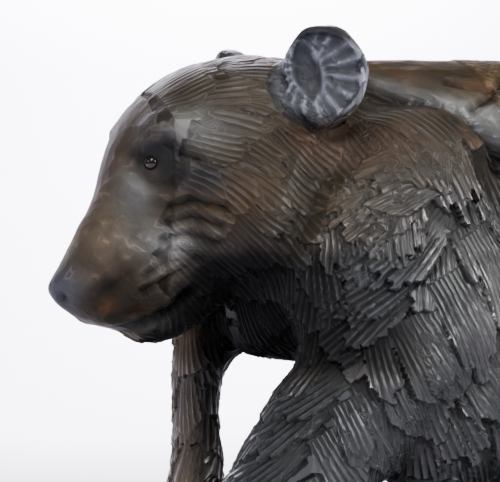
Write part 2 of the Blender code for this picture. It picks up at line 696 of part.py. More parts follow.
def lock_seeds(mesh, spacing, seed):
    """Lock roots spread evenly over the skin: place, normal, way of growth, size and three random numbers."""
    points, normals = read_points(mesh), smoothed(mesh, read_normals(mesh), 20)
    normals /= np.linalg.norm(normals, axis=1)[:, None]
    random.seed(seed)
    order = random.sample(range(len(points)), min(LOCK_TRIALS, len(points)))
    on_head = smooth_step(-45, -15, head_places(points)[:, 0])
    size = 1 - (1 - HEAD_LOCKS) * on_head
    cover, flow = hair_cover(points), hair_flow(points)
    taken, seeds = {}, []
    for i in order:
        step = spacing * size[i]
        cell = tuple(np.floor(points[i] / (0.6 * step)).astype(int))
        around = [(cell[0] + a, cell[1] + b, cell[2] + c)
                  for a in (-1, 0, 1) for b in (-1, 0, 1) for c in (-1, 0, 1)]
        if cover[i] < 0.05 or any(k in taken and np.linalg.norm(points[i] - taken[k]) < step for k in around):
            continue
        taken[cell] = points[i]
        way = flow[i] - normals[i] * (flow[i] @ normals[i])
        way /= np.linalg.norm(way)
        seeds.append((points[i], normals[i], way, size[i] * (0.85 + 0.3 * random.random()),
                      cover[i], random.random(), random.random(), random.randrange(10**6)))
    return seeds


def lock_heights(points, normals, seeds):
    """How far each point rises: overlapping locks like shingles, each a fan of strands cut with a gouge."""
    tree = kdtree.KDTree(len(points))
    for i, p in enumerate(points):
        tree.insert(p, i)
    tree.balance()
    height = np.zeros(len(points))
    touched = np.zeros(len(points), bool)
    for place, normal, way, size, cover, bend, widen, number in seeds:
        length, width = LOCK_LENGTH * size, LOCK_WIDTH * size * (0.8 + 0.4 * widen)
        reach = 0.62 * length + width / 2
        near = np.array([i for _, i, _ in tree.find_range(place + way * length / 2, reach)])
        if not len(near):
            continue
        near = near[normals[near] @ normal > 0.35]
        offset = points[near] - place
        along = offset @ way / length
        across = offset @ np.cross(normal, way) / width + 0.25 * (bend - 0.5) * np.abs(along) * along
        strand = np.floor((across + 0.5) * LOCK_STRANDS)
        ends = np.random.RandomState(number).uniform(0.72, 1.0, LOCK_STRANDS)
        end = ends[np.clip(strand, 0, LOCK_STRANDS - 1).astype(int)] * (1 - 0.9 * across**2)
        inside = (np.abs(across) < 0.5) & (along > -0.12) & (along < end)
        trough = 1 - (2 * ((across + 0.5) * LOCK_STRANDS - strand) - 1) ** 2
        rise = LOCK_RISE * (np.clip(along / end, 0, 1) - LOCK_LEVEL)
        rise = (rise - LOCK_CUT * trough * smooth_step(-0.1, 0.3, along)) * size * cover
        hit = near[inside]
        height[hit] = np.where(touched[hit], np.maximum(height[hit], rise[inside]), rise[inside])
        touched[hit] = True
    return height


def whole_mesh(voxel):
    """The finished animal: the softened body, then the ears and the fish, then the carving."""
    body = body_mesh()
    bm = bmesh.new()
    bm.from_mesh(body)
    salmon(bm)
    for side in (1, -1):
        ear(bm, side)
    for foot in (LEFT_FOREPAW, RIGHT_FOREPAW, LEFT_HIND_PAW, RIGHT_HIND_PAW):
        claws(bm, *foot)
    mesh = grown(bm, voxel)
    seeds = lock_seeds(body, LOCK_SPACING, 7)
    bpy.data.meshes.remove(body)
    points = smoothed(mesh, read_points(mesh), 2)
    write_points(mesh, points)
    normals = smoothed(mesh, read_normals(mesh), 3)
    carve_face(points, normals)
    carve_ears(points, normals)
    carve_body(points, normals)
    carve_salmon(points, normals)
    height = lock_heights(points, normals, seeds)
    points += normals * smoothed(mesh, height[:, None], LOCK_SOFTENING)
    write_points(mesh, points)
    # Grown once more, so that no cut leaves two skins crossing each other
    bm = bmesh.new()
    bm.from_mesh(mesh)
    bpy.data.meshes.remove(mesh)
    return grown(bm, CLEANING_VOXEL)


def largest_body(bm):
    """Deletes every loose scrap but the body with the most faces."""
    left, best = set(bm.verts), []
    while left:
        stack, found = [left.pop()], []
        while stack:
            vert = stack.pop()
            found.append(vert)
            for edge in vert.link_edges:
                other = edge.other_vert(vert)
                if other in left:
                    left.discard(other)
                    stack.append(other)
        best = max(best, found, key=len)
    kept = set(best)
    bmesh.ops.delete(bm, geom=[v for v in bm.verts if v not in kept], context="VERTS")


def wood_material(name, color, roughness):
    material = bpy.data.materials.new(name)
    material.use_nodes = True
    shader = material.node_tree.nodes["Principled BSDF"]
    shader.inputs["Base Color"].default_value = (*color, 1)
    shader.inputs["Roughness"].default_value = roughness
    shader.inputs["Metallic"].default_value = 0
    material.diffuse_color = (*color, 1)
    return material


def eye_axis(side):
    """The way that an eye looks, in world space."""
    return (HEAD.to_3x3() @ Vector((0.45, 0.88 * side, 0.12))).normalized()


def eye_place(skin, side):
    """The bead's centre: on the line through the socket, set back so that it stands a little proud."""
    way = eye_axis(side)
    target = TO_WORLD @ (HEAD @ Vector((EYE[0], EYE[1] * side, EYE[2])))
    hit, place, _, _ = skin.ray_cast(target + way * 0.03, -way)
    return place + way * (EYE_PROUD - EYE_DIAMETER / 2) if hit else target


def ball(name, centre, radius, material):
    bm = bmesh.new()
    bmesh.ops.create_icosphere(bm, subdivisions=2, radius=radius)
    mesh = bpy.data.meshes.new(name)
    bm.to_mesh(mesh)
    bm.free()
    mesh.shade_smooth()
    obj = bpy.data.objects.new(name, mesh)
    obj.location = centre
    bpy.context.scene.collection.objects.link(obj)
    if material:
        mesh.materials.append(material)
    return obj


def boolean(obj, operation, other):
    cut = obj.modifiers.new(f"{operation.lower()} {other.name}", "BOOLEAN")
    cut.operation = operation
    cut.solver = "EXACT"
    cut.object = other
    other.hide_render = True
    other.display_type = "WIRE"


def main():
    for obj in list(bpy.context.scene.objects):
        bpy.data.objects.remove(obj)
    mesh = whole_mesh(CARVING_VOXEL)
    bm = bmesh.new()
    bm.from_mesh(mesh)
    largest_body(bm)
    bear = named_object("carved_bear", bm)
    bpy.data.meshes.remove(mesh)
    facets = bear.modifiers.new("facets", "DECIMATE")
    facets.ratio = TRIANGLES / sum(len(p.vertices) - 2 for p in bear.data.polygons)
    graph = bpy.context.evaluated_depsgraph_get()
    bear.data = bpy.data.meshes.new_from_object(bear.evaluated_get(graph))
    bear.modifiers.clear()
    bear.data.materials.append(wood_material("dark stained wood", (0.055, 0.042, 0.032), 0.42))
    places = {side: eye_place(bear, side) for side in (1, -1)}
    boolean(bear, "UNION", plinth())
    glass = wood_material("black glass", (0.01, 0.008, 0.006), 0.05)
    for name, side in (("left", 1), ("right", -1)):
        ball(f"eye_{name}", places[side], EYE_DIAMETER / 2, glass)
        socket = ball(f"socket_{name}", places[side], EYE_DIAMETER / 2 + EYE_CLEARANCE, None)
        boolean(bear, "DIFFERENCE", socket)


if __name__ == "__main__":
    main()
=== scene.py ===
"""The looks of the carved bear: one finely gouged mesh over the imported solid, glass eyes, soft studio light.

The form is worked out here by the same functions as the solid's, in figure units, then carved much finer.
"""

import json
import math
import random

import bmesh
import bpy
import numpy as np
from mathutils import Matrix, Vector

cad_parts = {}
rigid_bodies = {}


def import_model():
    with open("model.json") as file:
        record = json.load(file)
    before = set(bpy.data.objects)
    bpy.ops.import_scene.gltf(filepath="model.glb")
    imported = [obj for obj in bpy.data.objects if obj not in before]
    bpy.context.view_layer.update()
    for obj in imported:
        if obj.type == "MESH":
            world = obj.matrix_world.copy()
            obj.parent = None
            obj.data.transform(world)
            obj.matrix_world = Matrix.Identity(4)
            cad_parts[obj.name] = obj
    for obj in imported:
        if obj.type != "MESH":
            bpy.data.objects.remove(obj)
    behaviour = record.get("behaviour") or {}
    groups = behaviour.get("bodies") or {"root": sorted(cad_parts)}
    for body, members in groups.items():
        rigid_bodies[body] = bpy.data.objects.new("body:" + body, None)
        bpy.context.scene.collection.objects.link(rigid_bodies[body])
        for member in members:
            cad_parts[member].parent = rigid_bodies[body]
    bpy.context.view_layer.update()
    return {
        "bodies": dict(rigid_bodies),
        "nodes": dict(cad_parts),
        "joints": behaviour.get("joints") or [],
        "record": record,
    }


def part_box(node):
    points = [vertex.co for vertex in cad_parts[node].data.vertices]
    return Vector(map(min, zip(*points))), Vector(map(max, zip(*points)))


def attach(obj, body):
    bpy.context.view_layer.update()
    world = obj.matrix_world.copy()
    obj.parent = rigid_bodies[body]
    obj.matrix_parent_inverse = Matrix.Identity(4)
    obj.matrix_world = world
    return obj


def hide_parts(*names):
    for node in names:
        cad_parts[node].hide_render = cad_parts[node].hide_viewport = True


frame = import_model()

# Driving dimensions, in metres
FIGURE_LENGTH = 0.400  # from the nose to the rump
PLINTH_HEIGHT = 0.018
PLINTH_MARGIN = 0.012  # from the paws to the plinth's edge
EYE_DIAMETER = 0.0066
# Figure units, the scale that the free form is drawn in
FIGURE_UNITS = 400.0
UNIT = FIGURE_LENGTH / FIGURE_UNITS
PLINTH_FOOT = -PLINTH_HEIGHT / UNIT
FIGURE_X = -119.0  # the figure's own zero line, under the skull, in front of the plinth's centre
VOXEL = 2.4  # the grid on which the separate forms grow into one
BLEND_PASSES = 16  # rounds of smoothing over the joints between forms
RING_POINTS = 28
BLOB_RINGS = 13
PLINTH_CORNERS = 48
PLINTH_CHAMFER = 3.0
PLINTH_FOOT_CHAMFER = 1.5
# The head's own frame: forward, left and up from the middle of the skull
SKULL = (7.0, 0.0, 193.0)
HEAD_TURN = math.radians(10)  # towards the bear's left


def head_matrix():
    """From (forward, left, up) in the head's frame to the figure's x, y and z."""
    c, s = math.cos(HEAD_TURN), math.sin(HEAD_TURN)
    forward, left = Vector((-c, -s, 0)), Vector((s, -c, 0))
    m = Matrix((forward, left, Vector((0, 0, 1)))).transposed().to_4x4()
    m.translation = SKULL
    return m


HEAD = head_matrix()


def smooth_rows(rows, per_span):
    """The rows, with more rows read between them from a Catmull-Rom curve."""
    rows = np.array(rows, float)
    padded = np.vstack([2 * rows[0] - rows[1], rows, 2 * rows[-1] - rows[-2]])
    found = []
    for i in range(len(rows) - 1):
        p0, p1, p2, p3 = padded[i : i + 4]
        for t in np.arange(per_span) / per_span:
            found.append(
                0.5 * (2 * p1 + (p2 - p0) * t + (2 * p0 - 5 * p1 + 4 * p2 - p3) * t**2
                       + (3 * p1 - p0 - 3 * p2 + p3) * t**3)
            )
    return np.array([*found, rows[-1]])


def skin_rings(bm, rings):
    """Faces between neighbouring rings of points, and over open ends. A ring of one point is a tip."""
    rings = [[bm.verts.new(p) for p in ring] for ring in rings]
    count = max(len(ring) for ring in rings)
    for first, second in zip(rings, rings[1:]):
        for i in range(count):
            corners = [first[i % len(first)], first[(i + 1) % len(first)], second[(i + 1) % len(second)],
                       second[i % len(second)]]
            bm.faces.new(list(dict.fromkeys(corners)))
    for ring in (rings[0][::-1], rings[-1]):
        if len(ring) > 2:
            bm.faces.new(ring)


def loft(bm, sections, power=2.3, per_span=5, place=None):
    """A closed body through its sections: one edge point, the opposite one, and the half-width vector."""
    rows = smooth_rows([[*a, *b, *w] for a, b, w in sections], per_span)
    angles = np.arange(RING_POINTS) * 2 * math.pi / RING_POINTS
    along = np.sign(np.cos(angles)) * np.abs(np.cos(angles)) ** (2 / power)
    aside = np.sign(np.sin(angles)) * np.abs(np.sin(angles)) ** (2 / power)
    rings = []
    for row in rows:
        a, b, w = row[:3], row[3:6], row[6:]
        points = (a + b) / 2 + np.outer(along, (a - b) / 2) + np.outer(aside, w)
        rings.append([place @ Vector(p) if place else Vector(p) for p in points])
    skin_rings(bm, rings)


def blob(bm, centre, radii, place=None, turn=(0, 0, 0)):
    """An ellipsoid. Turn is in degrees about its own x, y and z."""
    m = Matrix.Translation(centre)
    for angle, axis in zip(turn, "XYZ"):
        m = m @ Matrix.Rotation(math.radians(angle), 4, axis)
    m = (place or Matrix()) @ m @ Matrix.Diagonal((*radii, 1))
    rings = []
    for i in range(BLOB_RINGS + 1):
        fall = math.pi * i / BLOB_RINGS
        turns = 1 if i in (0, BLOB_RINGS) else 2 * BLOB_RINGS
        rings.append([m @ Vector((math.sin(fall) * math.cos(math.pi * j / BLOB_RINGS),
                                  math.sin(fall) * math.sin(math.pi * j / BLOB_RINGS), math.cos(fall)))
                      for j in range(turns)])
    skin_rings(bm, rings)


def upright(rows, y=0.0):
    """Sections from rows of (top x, top z, bottom x, bottom z, half-width), in a plane at y."""
    return [((tx, y, tz), (bx, y, bz), (0, w, 0)) for tx, tz, bx, bz, w in rows]


# From front to rear, as rows of (top x, top z, bottom x, bottom z, half-width)
TORSO = [
    (4, 172, 16, 128, 18), (8, 200, 18, 104, 38), (30, 212, 36, 92, 50), (58, 216, 60, 52, 58),
    (98, 212, 98, 38, 60), (146, 205, 146, 37, 60), (196, 206, 196, 44, 61), (245, 202, 240, 62, 57),
    (280, 186, 275, 92, 46), (300, 165, 297, 118, 28), (308, 152, 306, 138, 12),
]
NECK = [
    (-6, 226, -12, 112, 38), (12, 229, -4, 101, 48), (34, 226, 8, 99, 54), (58, 220, 26, 98, 58),
    (84, 212, 60, 98, 56),
]
# The same in the head's frame: the head from its nose to its nape, and the jaw
HEAD_FORM = [
    (102, -61, 99, -68, 6), (99, -56, 94, -72, 11), (94, -47, 84.5, -77, 16),
    (88.5, -37, 75, -80, 19.5), (83, -27, 63, -81, 22), (79, -18, 50, -80, 25), (76.5, -7, 38, -76, 29),
    (71.5, 7, 27, -68, 35), (62, 21, 15, -60, 41), (48, 32, 4, -52, 46), (29, 39.5, -10, -47, 49),
    (7, 42.5, -28, -42, 50), (-20, 40, -46, -36, 47),
]
JAW = [
    (70, -78, 66, -84, 8), (68, -70, 60, -87.5, 13), (58, -64, 47, -85, 17), (44, -56, 34, -78, 21),
    (26, -44, 20, -62, 28),
]


def masses(bm):
    loft(bm, upright(TORSO), 2.6)
    loft(bm, upright(NECK))
    for rows in (HEAD_FORM, JAW):
        loft(bm, upright(rows), place=HEAD)


def face_forms(bm):
    """Brows, cheeks and lips on each side of the head."""
    for side in (1, -1):
        blob(bm, (55, 22 * side, 8), (16, 12, 9), HEAD, (0, 25, 0))
        blob(bm, (14, 30 * side, -26), (36, 24, 32), HEAD, (0, 10, 0))
        blob(bm, (-14, 34 * side, -18), (32, 22, 36), HEAD)
        blob(bm, (70, 10 * side, -66), (20, 12, 10), HEAD, (0, 35, 0))
    blob(bm, (96.5, 0, -61), (6.5, 8.5, 7), HEAD)


EAR_CENTRE = (-4.0, 51.0, 29.0)  # in the head's frame, on its left side
EAR_RADIUS = 21.8
EAR_FACES = (0.50, 0.85, 0.08)  # the way the cup opens
# From the middle of the cup's back, over its rim, to its bottom: share of the radius, then height
EAR_PROFILE = [
    (0, -8.0), (0.40, -8.0), (0.76, -5.5), (0.96, -1.0), (1.0, 3.0), (0.94, 6.4), (0.81, 6.0), (0.67, 3.4),
    (0.47, 1.6), (0.27, 0.8), (0, 0.6)]
EAR_CORNERS = 48
EAR_SINK = 6.5  # how far the rim's lower front bends back to the head
EAR_ROOT = (17, 16, 18)
EAR_HOLLOW = (5.5, 2.5)  # the middle of the deep hollow, forward and up from the cup's middle
EAR_HOLLOW_RADII = (6.2, 12.5)
EAR_HOLLOW_TILT = math.radians(-20)
EAR_HOLLOW_DEPTH = 4.6
EAR_FLUTES = 17  # gouge cuts that run from the hollow out to the rim
EAR_FLUTE_DEPTH = 1.5


def ear_frame(side):
    """The cup's middle, and its ways forward, up and outward."""
    facing = Vector((EAR_FACES[0], EAR_FACES[1] * side, EAR_FACES[2])).normalized()
    ahead = Vector((facing.y * side, -facing.x * side, 0)).normalized()
    upward = facing.cross(ahead) * -side
    return Vector((EAR_CENTRE[0], EAR_CENTRE[1] * side, EAR_CENTRE[2])), ahead, upward, facing


def ear(bm, side):
    """A thick-rimmed cup with a tip, whose rim sinks into the head at its lower front."""
    centre, ahead, upward, facing = ear_frame(side)
    rings = []
    for share, height in EAR_PROFILE:
        ring = []
        for i in range(EAR_CORNERS if share else 1):
            a = 2 * math.pi * i / EAR_CORNERS
            sunk = max(0.0, math.cos(a + math.radians(14))) ** 1.5
            tip = math.exp(-(((a - math.radians(258)) / 0.32) ** 2))
            shoulder = math.exp(-(((a - math.radians(55)) / 0.3) ** 2))
            wave = 0.015 * math.sin(7 * a)
            r = share * EAR_RADIUS * (1 - 0.24 * sunk + 0.12 * tip - 0.05 * shoulder + wave)
            z = height - EAR_SINK * sunk * share
            level = ahead * r * math.cos(a) + upward * r * math.sin(a) * 1.04
            ring.append(HEAD @ (centre + level + facing * z))
        rings.append(ring)
    skin_rings(bm, rings)
    # The root that joins the cup to the skull
    blob(bm, (EAR_CENTRE[0] - 1, (EAR_CENTRE[1] - 19) * side, EAR_CENTRE[2] - 6), EAR_ROOT, HEAD)


# Each paw: heel x, toe x, y, half-width and height
LEFT_FOREPAW = (14, -62, -57, 25, 26)
RIGHT_FOREPAW = (8, -54, 45, 22, 24)
LEFT_HIND_PAW = (310, 230, -53, 24, 24)
RIGHT_HIND_PAW = (256, 172, 53, 23, 24)


def paw(bm, heel, toe, y, half_width, height):
    """A flat foot from its heel to its toes, with four toe pads."""
    length = heel - toe
    loft(bm, upright([
        (heel, height * 0.75, heel, -1, half_width * 0.55),
        (heel - 0.15 * length, height * 1.05, heel - 0.12 * length, -2, half_width * 0.9),
        (toe + 0.45 * length, height, toe + 0.45 * length, -2, half_width),
        (toe + 0.18 * length, height * 0.62, toe + 0.18 * length, -2, half_width * 1.02),
    ], y), 2.8)
    for i in range(4):
        off = (i - 1.5) / 1.5
        blob(bm, (toe + (0.1 + 0.07 * off * off) * length, y + off * half_width * 0.74, height * 0.24),
             (0.15 * length, half_width * 0.3, height * 0.42))


def claws(bm, heel, toe, y, half_width, height):
    """Four long claws, one in front of each toe."""
    length = heel - toe
    for i in range(4):
        off = (i - 1.5) / 1.5
        blob(bm, (toe + (0.07 * off * off - 0.09) * length, y + off * half_width * 0.76, height * 0.17),
             (0.13 * length, 2.1, 3.0), turn=(0, -24, 6 * off))


# Each leg: its foot, then rows of (front x, front z, rear x, rear z, y, half-width)
LEGS = [
    (LEFT_FOREPAW, [
        (6, 176, 96, 186, -38, 24), (-2, 140, 106, 140, -46, 27), (11, 106, 92, 100, -52, 27),
        (-3, 86, 72, 80, -54, 25), (-17, 62, 54, 60, -56, 23), (-30, 40, 32, 38, -57, 22),
        (-40, 20, 10, 16, -57, 22), (-42, 8, 8, 6, -57, 21)]),
    (RIGHT_FOREPAW, [
        (-12, 168, 70, 172, 34, 25), (-24, 136, 48, 128, 38, 24), (-28, 108, 4, 100, 42, 21),
        (-28, 82, -6, 80, 44, 19), (-28, 50, -4, 50, 45, 19), (-34, 24, 0, 22, 45, 20),
        (-35, 8, 2, 6, 45, 20)]),
    (LEFT_HIND_PAW, [
        (200, 172, 296, 176, -38, 24), (206, 128, 308, 132, -47, 28), (224, 92, 306, 88, -51, 27),
        (250, 62, 308, 52, -53, 22), (262, 36, 306, 28, -53, 20), (262, 10, 308, 8, -53, 20)]),
    (RIGHT_HIND_PAW, [
        (190, 170, 284, 174, 38, 24), (182, 128, 278, 126, 47, 28), (184, 92, 262, 86, 51, 26),
        (198, 62, 254, 52, 53, 21), (206, 36, 250, 28, 53, 19), (206, 10, 252, 8, 53, 19)]),
]


def legs(bm):
    for foot, rows in LEGS:
        loft(bm, [((fx, y, fz), (rx, y, rz), (0, w, 0)) for fx, fz, rx, rz, y, w in rows])
        paw(bm, *foot)


def tail(bm):
    blob(bm, (309, 0, 150), (13, 10, 16), turn=(0, -20, 0))


def shoulders(bm):
    """The shoulders, the left elbow and the hips, as rows of centre, radii and lean."""
    for centre, radii, lean in (
        ((62, -40, 158), (46, 28, 56), 18), ((74, -45, 78), (37, 25, 40), 0),
        ((44, 36, 152), (50, 28, 52), 12), ((246, -38, 146), (50, 28, 46), 0),
        ((228, 38, 146), (50, 28, 46), 0),
    ):
        blob(bm, centre, radii, turn=(0, lean, 0))


FISH_BELLY = Vector((0.0, -0.80, -0.60)).normalized()  # the way the belly hangs
FISH_SPINE = [
    (34, -7, 229), (62, -16, 223.5), (100, -25, 215), (150, -27, 209), (205, -24, 204),
    (255, -15, 198), (292, -6, 187), (322, 0, 172)]
FISH_ROWS = [  # half-depth to the back, half-depth to the belly, half-thickness
    (4, 4, 4), (13, 17, 10), (25, 29, 15), (33, 37, 18), (29, 33, 17), (16, 18, 12), (10, 11, 7),
    (27, 27, 4)]
FISH_FINS = [  # first and last share of the length, towards the back (-1) or the belly (1), and height
    (0.40, 0.56, -1, 9), (0.72, 0.79, -1, 6), (0.66, 0.76, 1, 7)]
FISH_FIN_THICKNESS = 1.7


def fish_frames(per_span):
    """Along the fish: its spine, the ways along, to the belly and out of the flank, and its sizes."""
    rows = smooth_rows([[*p, *sizes] for p, sizes in zip(FISH_SPINE, FISH_ROWS)], per_span)
    frames = []
    for i, row in enumerate(rows):
        tangent = Vector(rows[min(i + 1, len(rows) - 1)][:3] - rows[max(i - 1, 0)][:3]).normalized()
        depth = (FISH_BELLY - tangent * FISH_BELLY.dot(tangent)).normalized()
        frames.append((Vector(row[:3]), tangent, depth, depth.cross(tangent).normalized(), row[3:]))
    return frames


def salmon(bm):
    loft(bm, [(place - depth * back, place + depth * belly, flank * thick)
              for place, _, depth, flank, (back, belly, thick) in fish_frames(1)], 2.1)
    frames = fish_frames(12)
    for first, last, edge, height in FISH_FINS:
        chosen = frames[round(first * (len(frames) - 1)) : round(last * (len(frames) - 1)) + 1]
        sections = []
        for i, (place, tangent, depth, flank, sizes) in enumerate(chosen):
            share = i / (len(chosen) - 1)
            half = sizes[0] if edge < 0 else sizes[1]
            rise = height * math.sin(math.pi * min(share * 1.6, 1) / 2) * (1 - share) ** 0.4
            base = place + depth * edge * half * 0.7
            sections.append((base, place + depth * edge * (half + rise) + tangent * rise * 0.5,
                             flank * FISH_FIN_THICKNESS))
        loft(bm, sections, 2.0, 1)


def plinth_outline(inset):
    """The plinth's edge in plan: a long squared oval, a margin outside the paws."""
    half_length, half_width = (192 + PLINTH_MARGIN / UNIT - inset, 80 + PLINTH_MARGIN / UNIT - inset)
    points = []
    for i in range(PLINTH_CORNERS):
        a = 2 * math.pi * i / PLINTH_CORNERS
        c, s = math.cos(a), math.sin(a)
        wave = 1 + 0.012 * math.sin(5 * a + 0.6) + 0.008 * math.sin(9 * a)
        points.append((-FIGURE_X + half_length * wave * math.copysign(abs(c) ** 0.55, c),
                       -5 + half_width * wave * math.copysign(abs(s) ** 0.55, s)))
    return points


TO_WORLD = Matrix.Translation((FIGURE_X * UNIT, 0, PLINTH_HEIGHT)) @ Matrix.Scale(UNIT, 4)


def in_scene(obj):
    bpy.context.scene.collection.objects.link(obj)


def grown(bm, voxel):
    """The forms of the bmesh, grown into one skin on a voxel grid."""
    bmesh.ops.recalc_face_normals(bm, faces=bm.faces)
    mesh = bpy.data.meshes.new("forms")
    bm.to_mesh(mesh)
    bm.free()
    block = bpy.data.objects.new("forms", mesh)
    in_scene(block)
    remesh = block.modifiers.new("grow together", "REMESH")
    remesh.mode = "VOXEL"
    remesh.voxel_size = voxel
    skin = bpy.data.meshes.new_from_object(block.evaluated_get(bpy.context.evaluated_depsgraph_get()))
    bpy.data.objects.remove(block)
    bpy.data.meshes.remove(mesh)
    return skin


def read(data, name):
    values = np.empty(len(data) * 3, np.float32)
    data.foreach_get(name, values)
    return values.reshape(-1, 3).astype(float)


def write_points(mesh, points):
    mesh.vertices.foreach_set("co", points.astype(np.float32).ravel())
    mesh.update()


def smoothed(mesh, values, passes):
    """The points' values, each moved halfway to its neighbours' average, several times over."""
    edges = np.empty(len(mesh.edges) * 2, np.int32)
    mesh.edges.foreach_get("vertices", edges)
    first, second = edges.reshape(-1, 2).T
    count = np.bincount(first, minlength=len(values)) + np.bincount(second, minlength=len(values))
    for _ in range(passes):
        total = np.column_stack([
            np.bincount(first, column[second], len(column)) + np.bincount(second, column[first], len(column))
            for column in values.T
        ])
        values = 0.5 * values + 0.5 * total / count[:, None]
    return values


def soft_normals(mesh, passes):
    return units(smoothed(mesh, read(mesh.vertex_normals, "vector"), passes))


# The lip of the trench that the fish lies in, on the near side of the back: x, then y and z
TRENCH_LIP = [
    (46, -24, 217), (60, -32, 211), (71, -39, 203.5), (82, -46, 195), (94, -52, 186),
    (108, -54, 179), (130, -55, 174), (165, -55, 171), (210, -54, 170), (250, -50, 171),
    (270, -44, 172)]
TRENCH_DEPTH = 5.0
TRENCH_WIDTH = 13.0
TRENCH_SLOPE = 0.8  # of its inner side, up to the fish's belly


def cut_trench(points):
    """Lowers the back between the lip and the fish, so that the fish's belly overhangs a trench."""
    x, y, z = points.T
    path = np.array(TRENCH_LIP, float)
    inward = y - np.interp(x, path[:, 0], path[:, 1])
    level = np.interp(x, path[:, 0], path[:, 2]) - TRENCH_DEPTH * ramp(0, 5, inward)
    level += TRENCH_SLOPE * np.clip(inward - TRENCH_WIDTH, 0, None)
    away = 2 - ramp(-3, 0, inward) - ramp(path[0, 0], path[1, 0], x) + ramp(path[-2, 0], path[-1, 0], x)
    points[:, 2] = np.minimum(z, level + FIGURE_UNITS * away)


def body_mesh():
    """The animal without its ears, grown together and softened, its back cut for the fish."""
    bm = bmesh.new()
    for form in (masses, face_forms, legs, tail, shoulders):
        form(bm)
    mesh = grown(bm, VOXEL)
    points = smoothed(mesh, read(mesh.vertices, "co"), BLEND_PASSES)
    cut_trench(points)
    write_points(mesh, points)
    return mesh


def row_lengths(rows):
    return np.linalg.norm(rows, axis=1)


def units(rows):
    return rows / row_lengths(rows)[:, None]


def ramp(low, high, values):
    """0 below the first value, 1 above the second, and a smooth rise between them."""
    t = np.clip((values - low) / (high - low), 0, 1)
    return t * t * (3 - 2 * t)


def head_places(points):
    """The points in the head's frame, as columns forward, left and up."""
    inverse = np.array(HEAD.inverted())
    return points @ inverse[:3, :3].T + inverse[:3, 3]


def path_distance(points, path):
    """The distance from each point to a chain of straight runs."""
    path = [np.array(p, float) for p in path]
    nearest = np.full(len(points), 1e9)
    for a, b in zip(path, path[1:]):
        t = np.clip((points - a) @ (b - a) / ((b - a) @ (b - a)), 0, 1)
        nearest = np.minimum(nearest, row_lengths(points - a - t[:, None] * (b - a)))
    return nearest


def press(points, normals, where, centre, radius, depth):
    """Moves the skin near a centre inwards, or outwards where the depth is negative."""
    gap = row_lengths(where - np.array(centre, float)) / radius
    points -= normals * (depth * np.exp(-2 * gap**2))[:, None]


def groove(points, normals, where, path, width, depth):
    """Cuts a V along a path, as deep as the depth at its middle."""
    cut = np.clip(1 - path_distance(where, path) / width, 0, None)
    points -= normals * (depth * cut)[:, None]


def hollow(points, normals, where, centre, radii, depth):
    """Sinks an oval patch, with a steep rim all round it."""
    reach = row_lengths((where - np.array(centre, float)) / np.array(radii, float))
    points -= normals * (depth * (1 - ramp(0.55, 1.0, reach)))[:, None]


EYE = (63.0, 25.0, -7.5)  # the bead's own place in the head's frame, on its left side
FACE_SIDE = 9.0  # how far off the face's middle line the carving of its two sides starts
# Cuts on the side of the face, as forward and up in the head's frame
MOUTH_LINE = [(77, -83), (68, -80), (60, -75.5), (51, -70), (44, -63)]
LIP_EDGE = [(58, -38), (64, -51), (72, -55.5), (82, -62), (90, -69)]
BROW_CREASE = [(73, -2), (69, 4), (61, 4.5), (54, -1), (48, -7)]
CHEEK_FOLDS = [
    [(57, -27), (49, -24), (38, -27)], [(57, -34), (49, -31), (39, -35)], [(58, -41), (50, -38), (40, -42)],
    [(60, -48), (52, -45), (43, -49)], [(64, -56), (56, -50), (46, -50)], [(65, -63), (56, -57), (48, -53)]]
# The tear trough, the brow, the temple and the lip, as forward, up, radius and depth
FACE_PRESSES = [(66, -27, 12, 2.6), (54, 10, 9, -1.8), (30, -4, 20, 2.0), (86, -68, 9, -1.2)]


def carve_face(points, normals):
    """Sockets, brow, mouth line, lips, cheek folds and nostrils, on both sides."""
    where = head_places(points)
    aside = ramp(FACE_SIDE, FACE_SIDE + 6, np.abs(where[:, 1]))
    flat = where * (1, 0, 1)

    def cut(path, width, depth):
        groove(points, normals, flat, [(f, 0, h) for f, h in path], width, depth * aside)

    hollow(points, normals, flat, (61.5, 0, -9), (13, 1, 13.5), 3.0 * aside)
    for f, h, radius, depth in FACE_PRESSES:
        press(points, normals, flat, (f, 0, h), radius, depth * aside)
    cut(BROW_CREASE, 4.5, 1.6)
    cut(LIP_EDGE, 6.5, 1.7)
    cut(MOUTH_LINE, 4.0, 3.2)
    for fold in CHEEK_FOLDS:
        cut(fold, 3.2, 1.8)
    for side in (1, -1):
        press(points, normals, where, (EYE[0], EYE[1] * side, EYE[2]), 6, 1.6)
        press(points, normals, where, (98, 7.5 * side, -66), 4, 2.4)
    press(points, normals, where, (88, 0, -33), 9, -1.0)


def carve_ears(points, normals):
    """The oval hollow inside each ear, and the gouge cuts from it to the rim."""
    where, skull = head_places(points), np.array(HEAD.to_3x3().inverted())
    for side in (1, -1):
        centre, ahead, upward, facing = (np.array(v) for v in ear_frame(side))
        offset = where - centre
        level = np.column_stack([offset @ ahead, offset @ upward])
        inner = ramp(0.1, 0.4, normals @ skull.T @ facing) * (np.abs(offset @ facing) < EAR_RADIUS / 2)
        inner = inner * (1 - ramp(0.74, 0.84, row_lengths(level) / EAR_RADIUS))
        level = level - EAR_HOLLOW
        c, s = math.cos(EAR_HOLLOW_TILT), math.sin(EAR_HOLLOW_TILT)
        tilted = level @ np.array(((c, -s), (s, c))) / EAR_HOLLOW_RADII
        reach = row_lengths(tilted)
        deep = EAR_HOLLOW_DEPTH * np.clip(1 - reach**2, 0, None)
        flute = EAR_FLUTE_DEPTH * np.abs(np.sin(EAR_FLUTES * np.arctan2(level[:, 1], level[:, 0]) / 2))
        points -= normals * ((deep + flute * ramp(0.9, 1.2, reach)) * inner)[:, None]


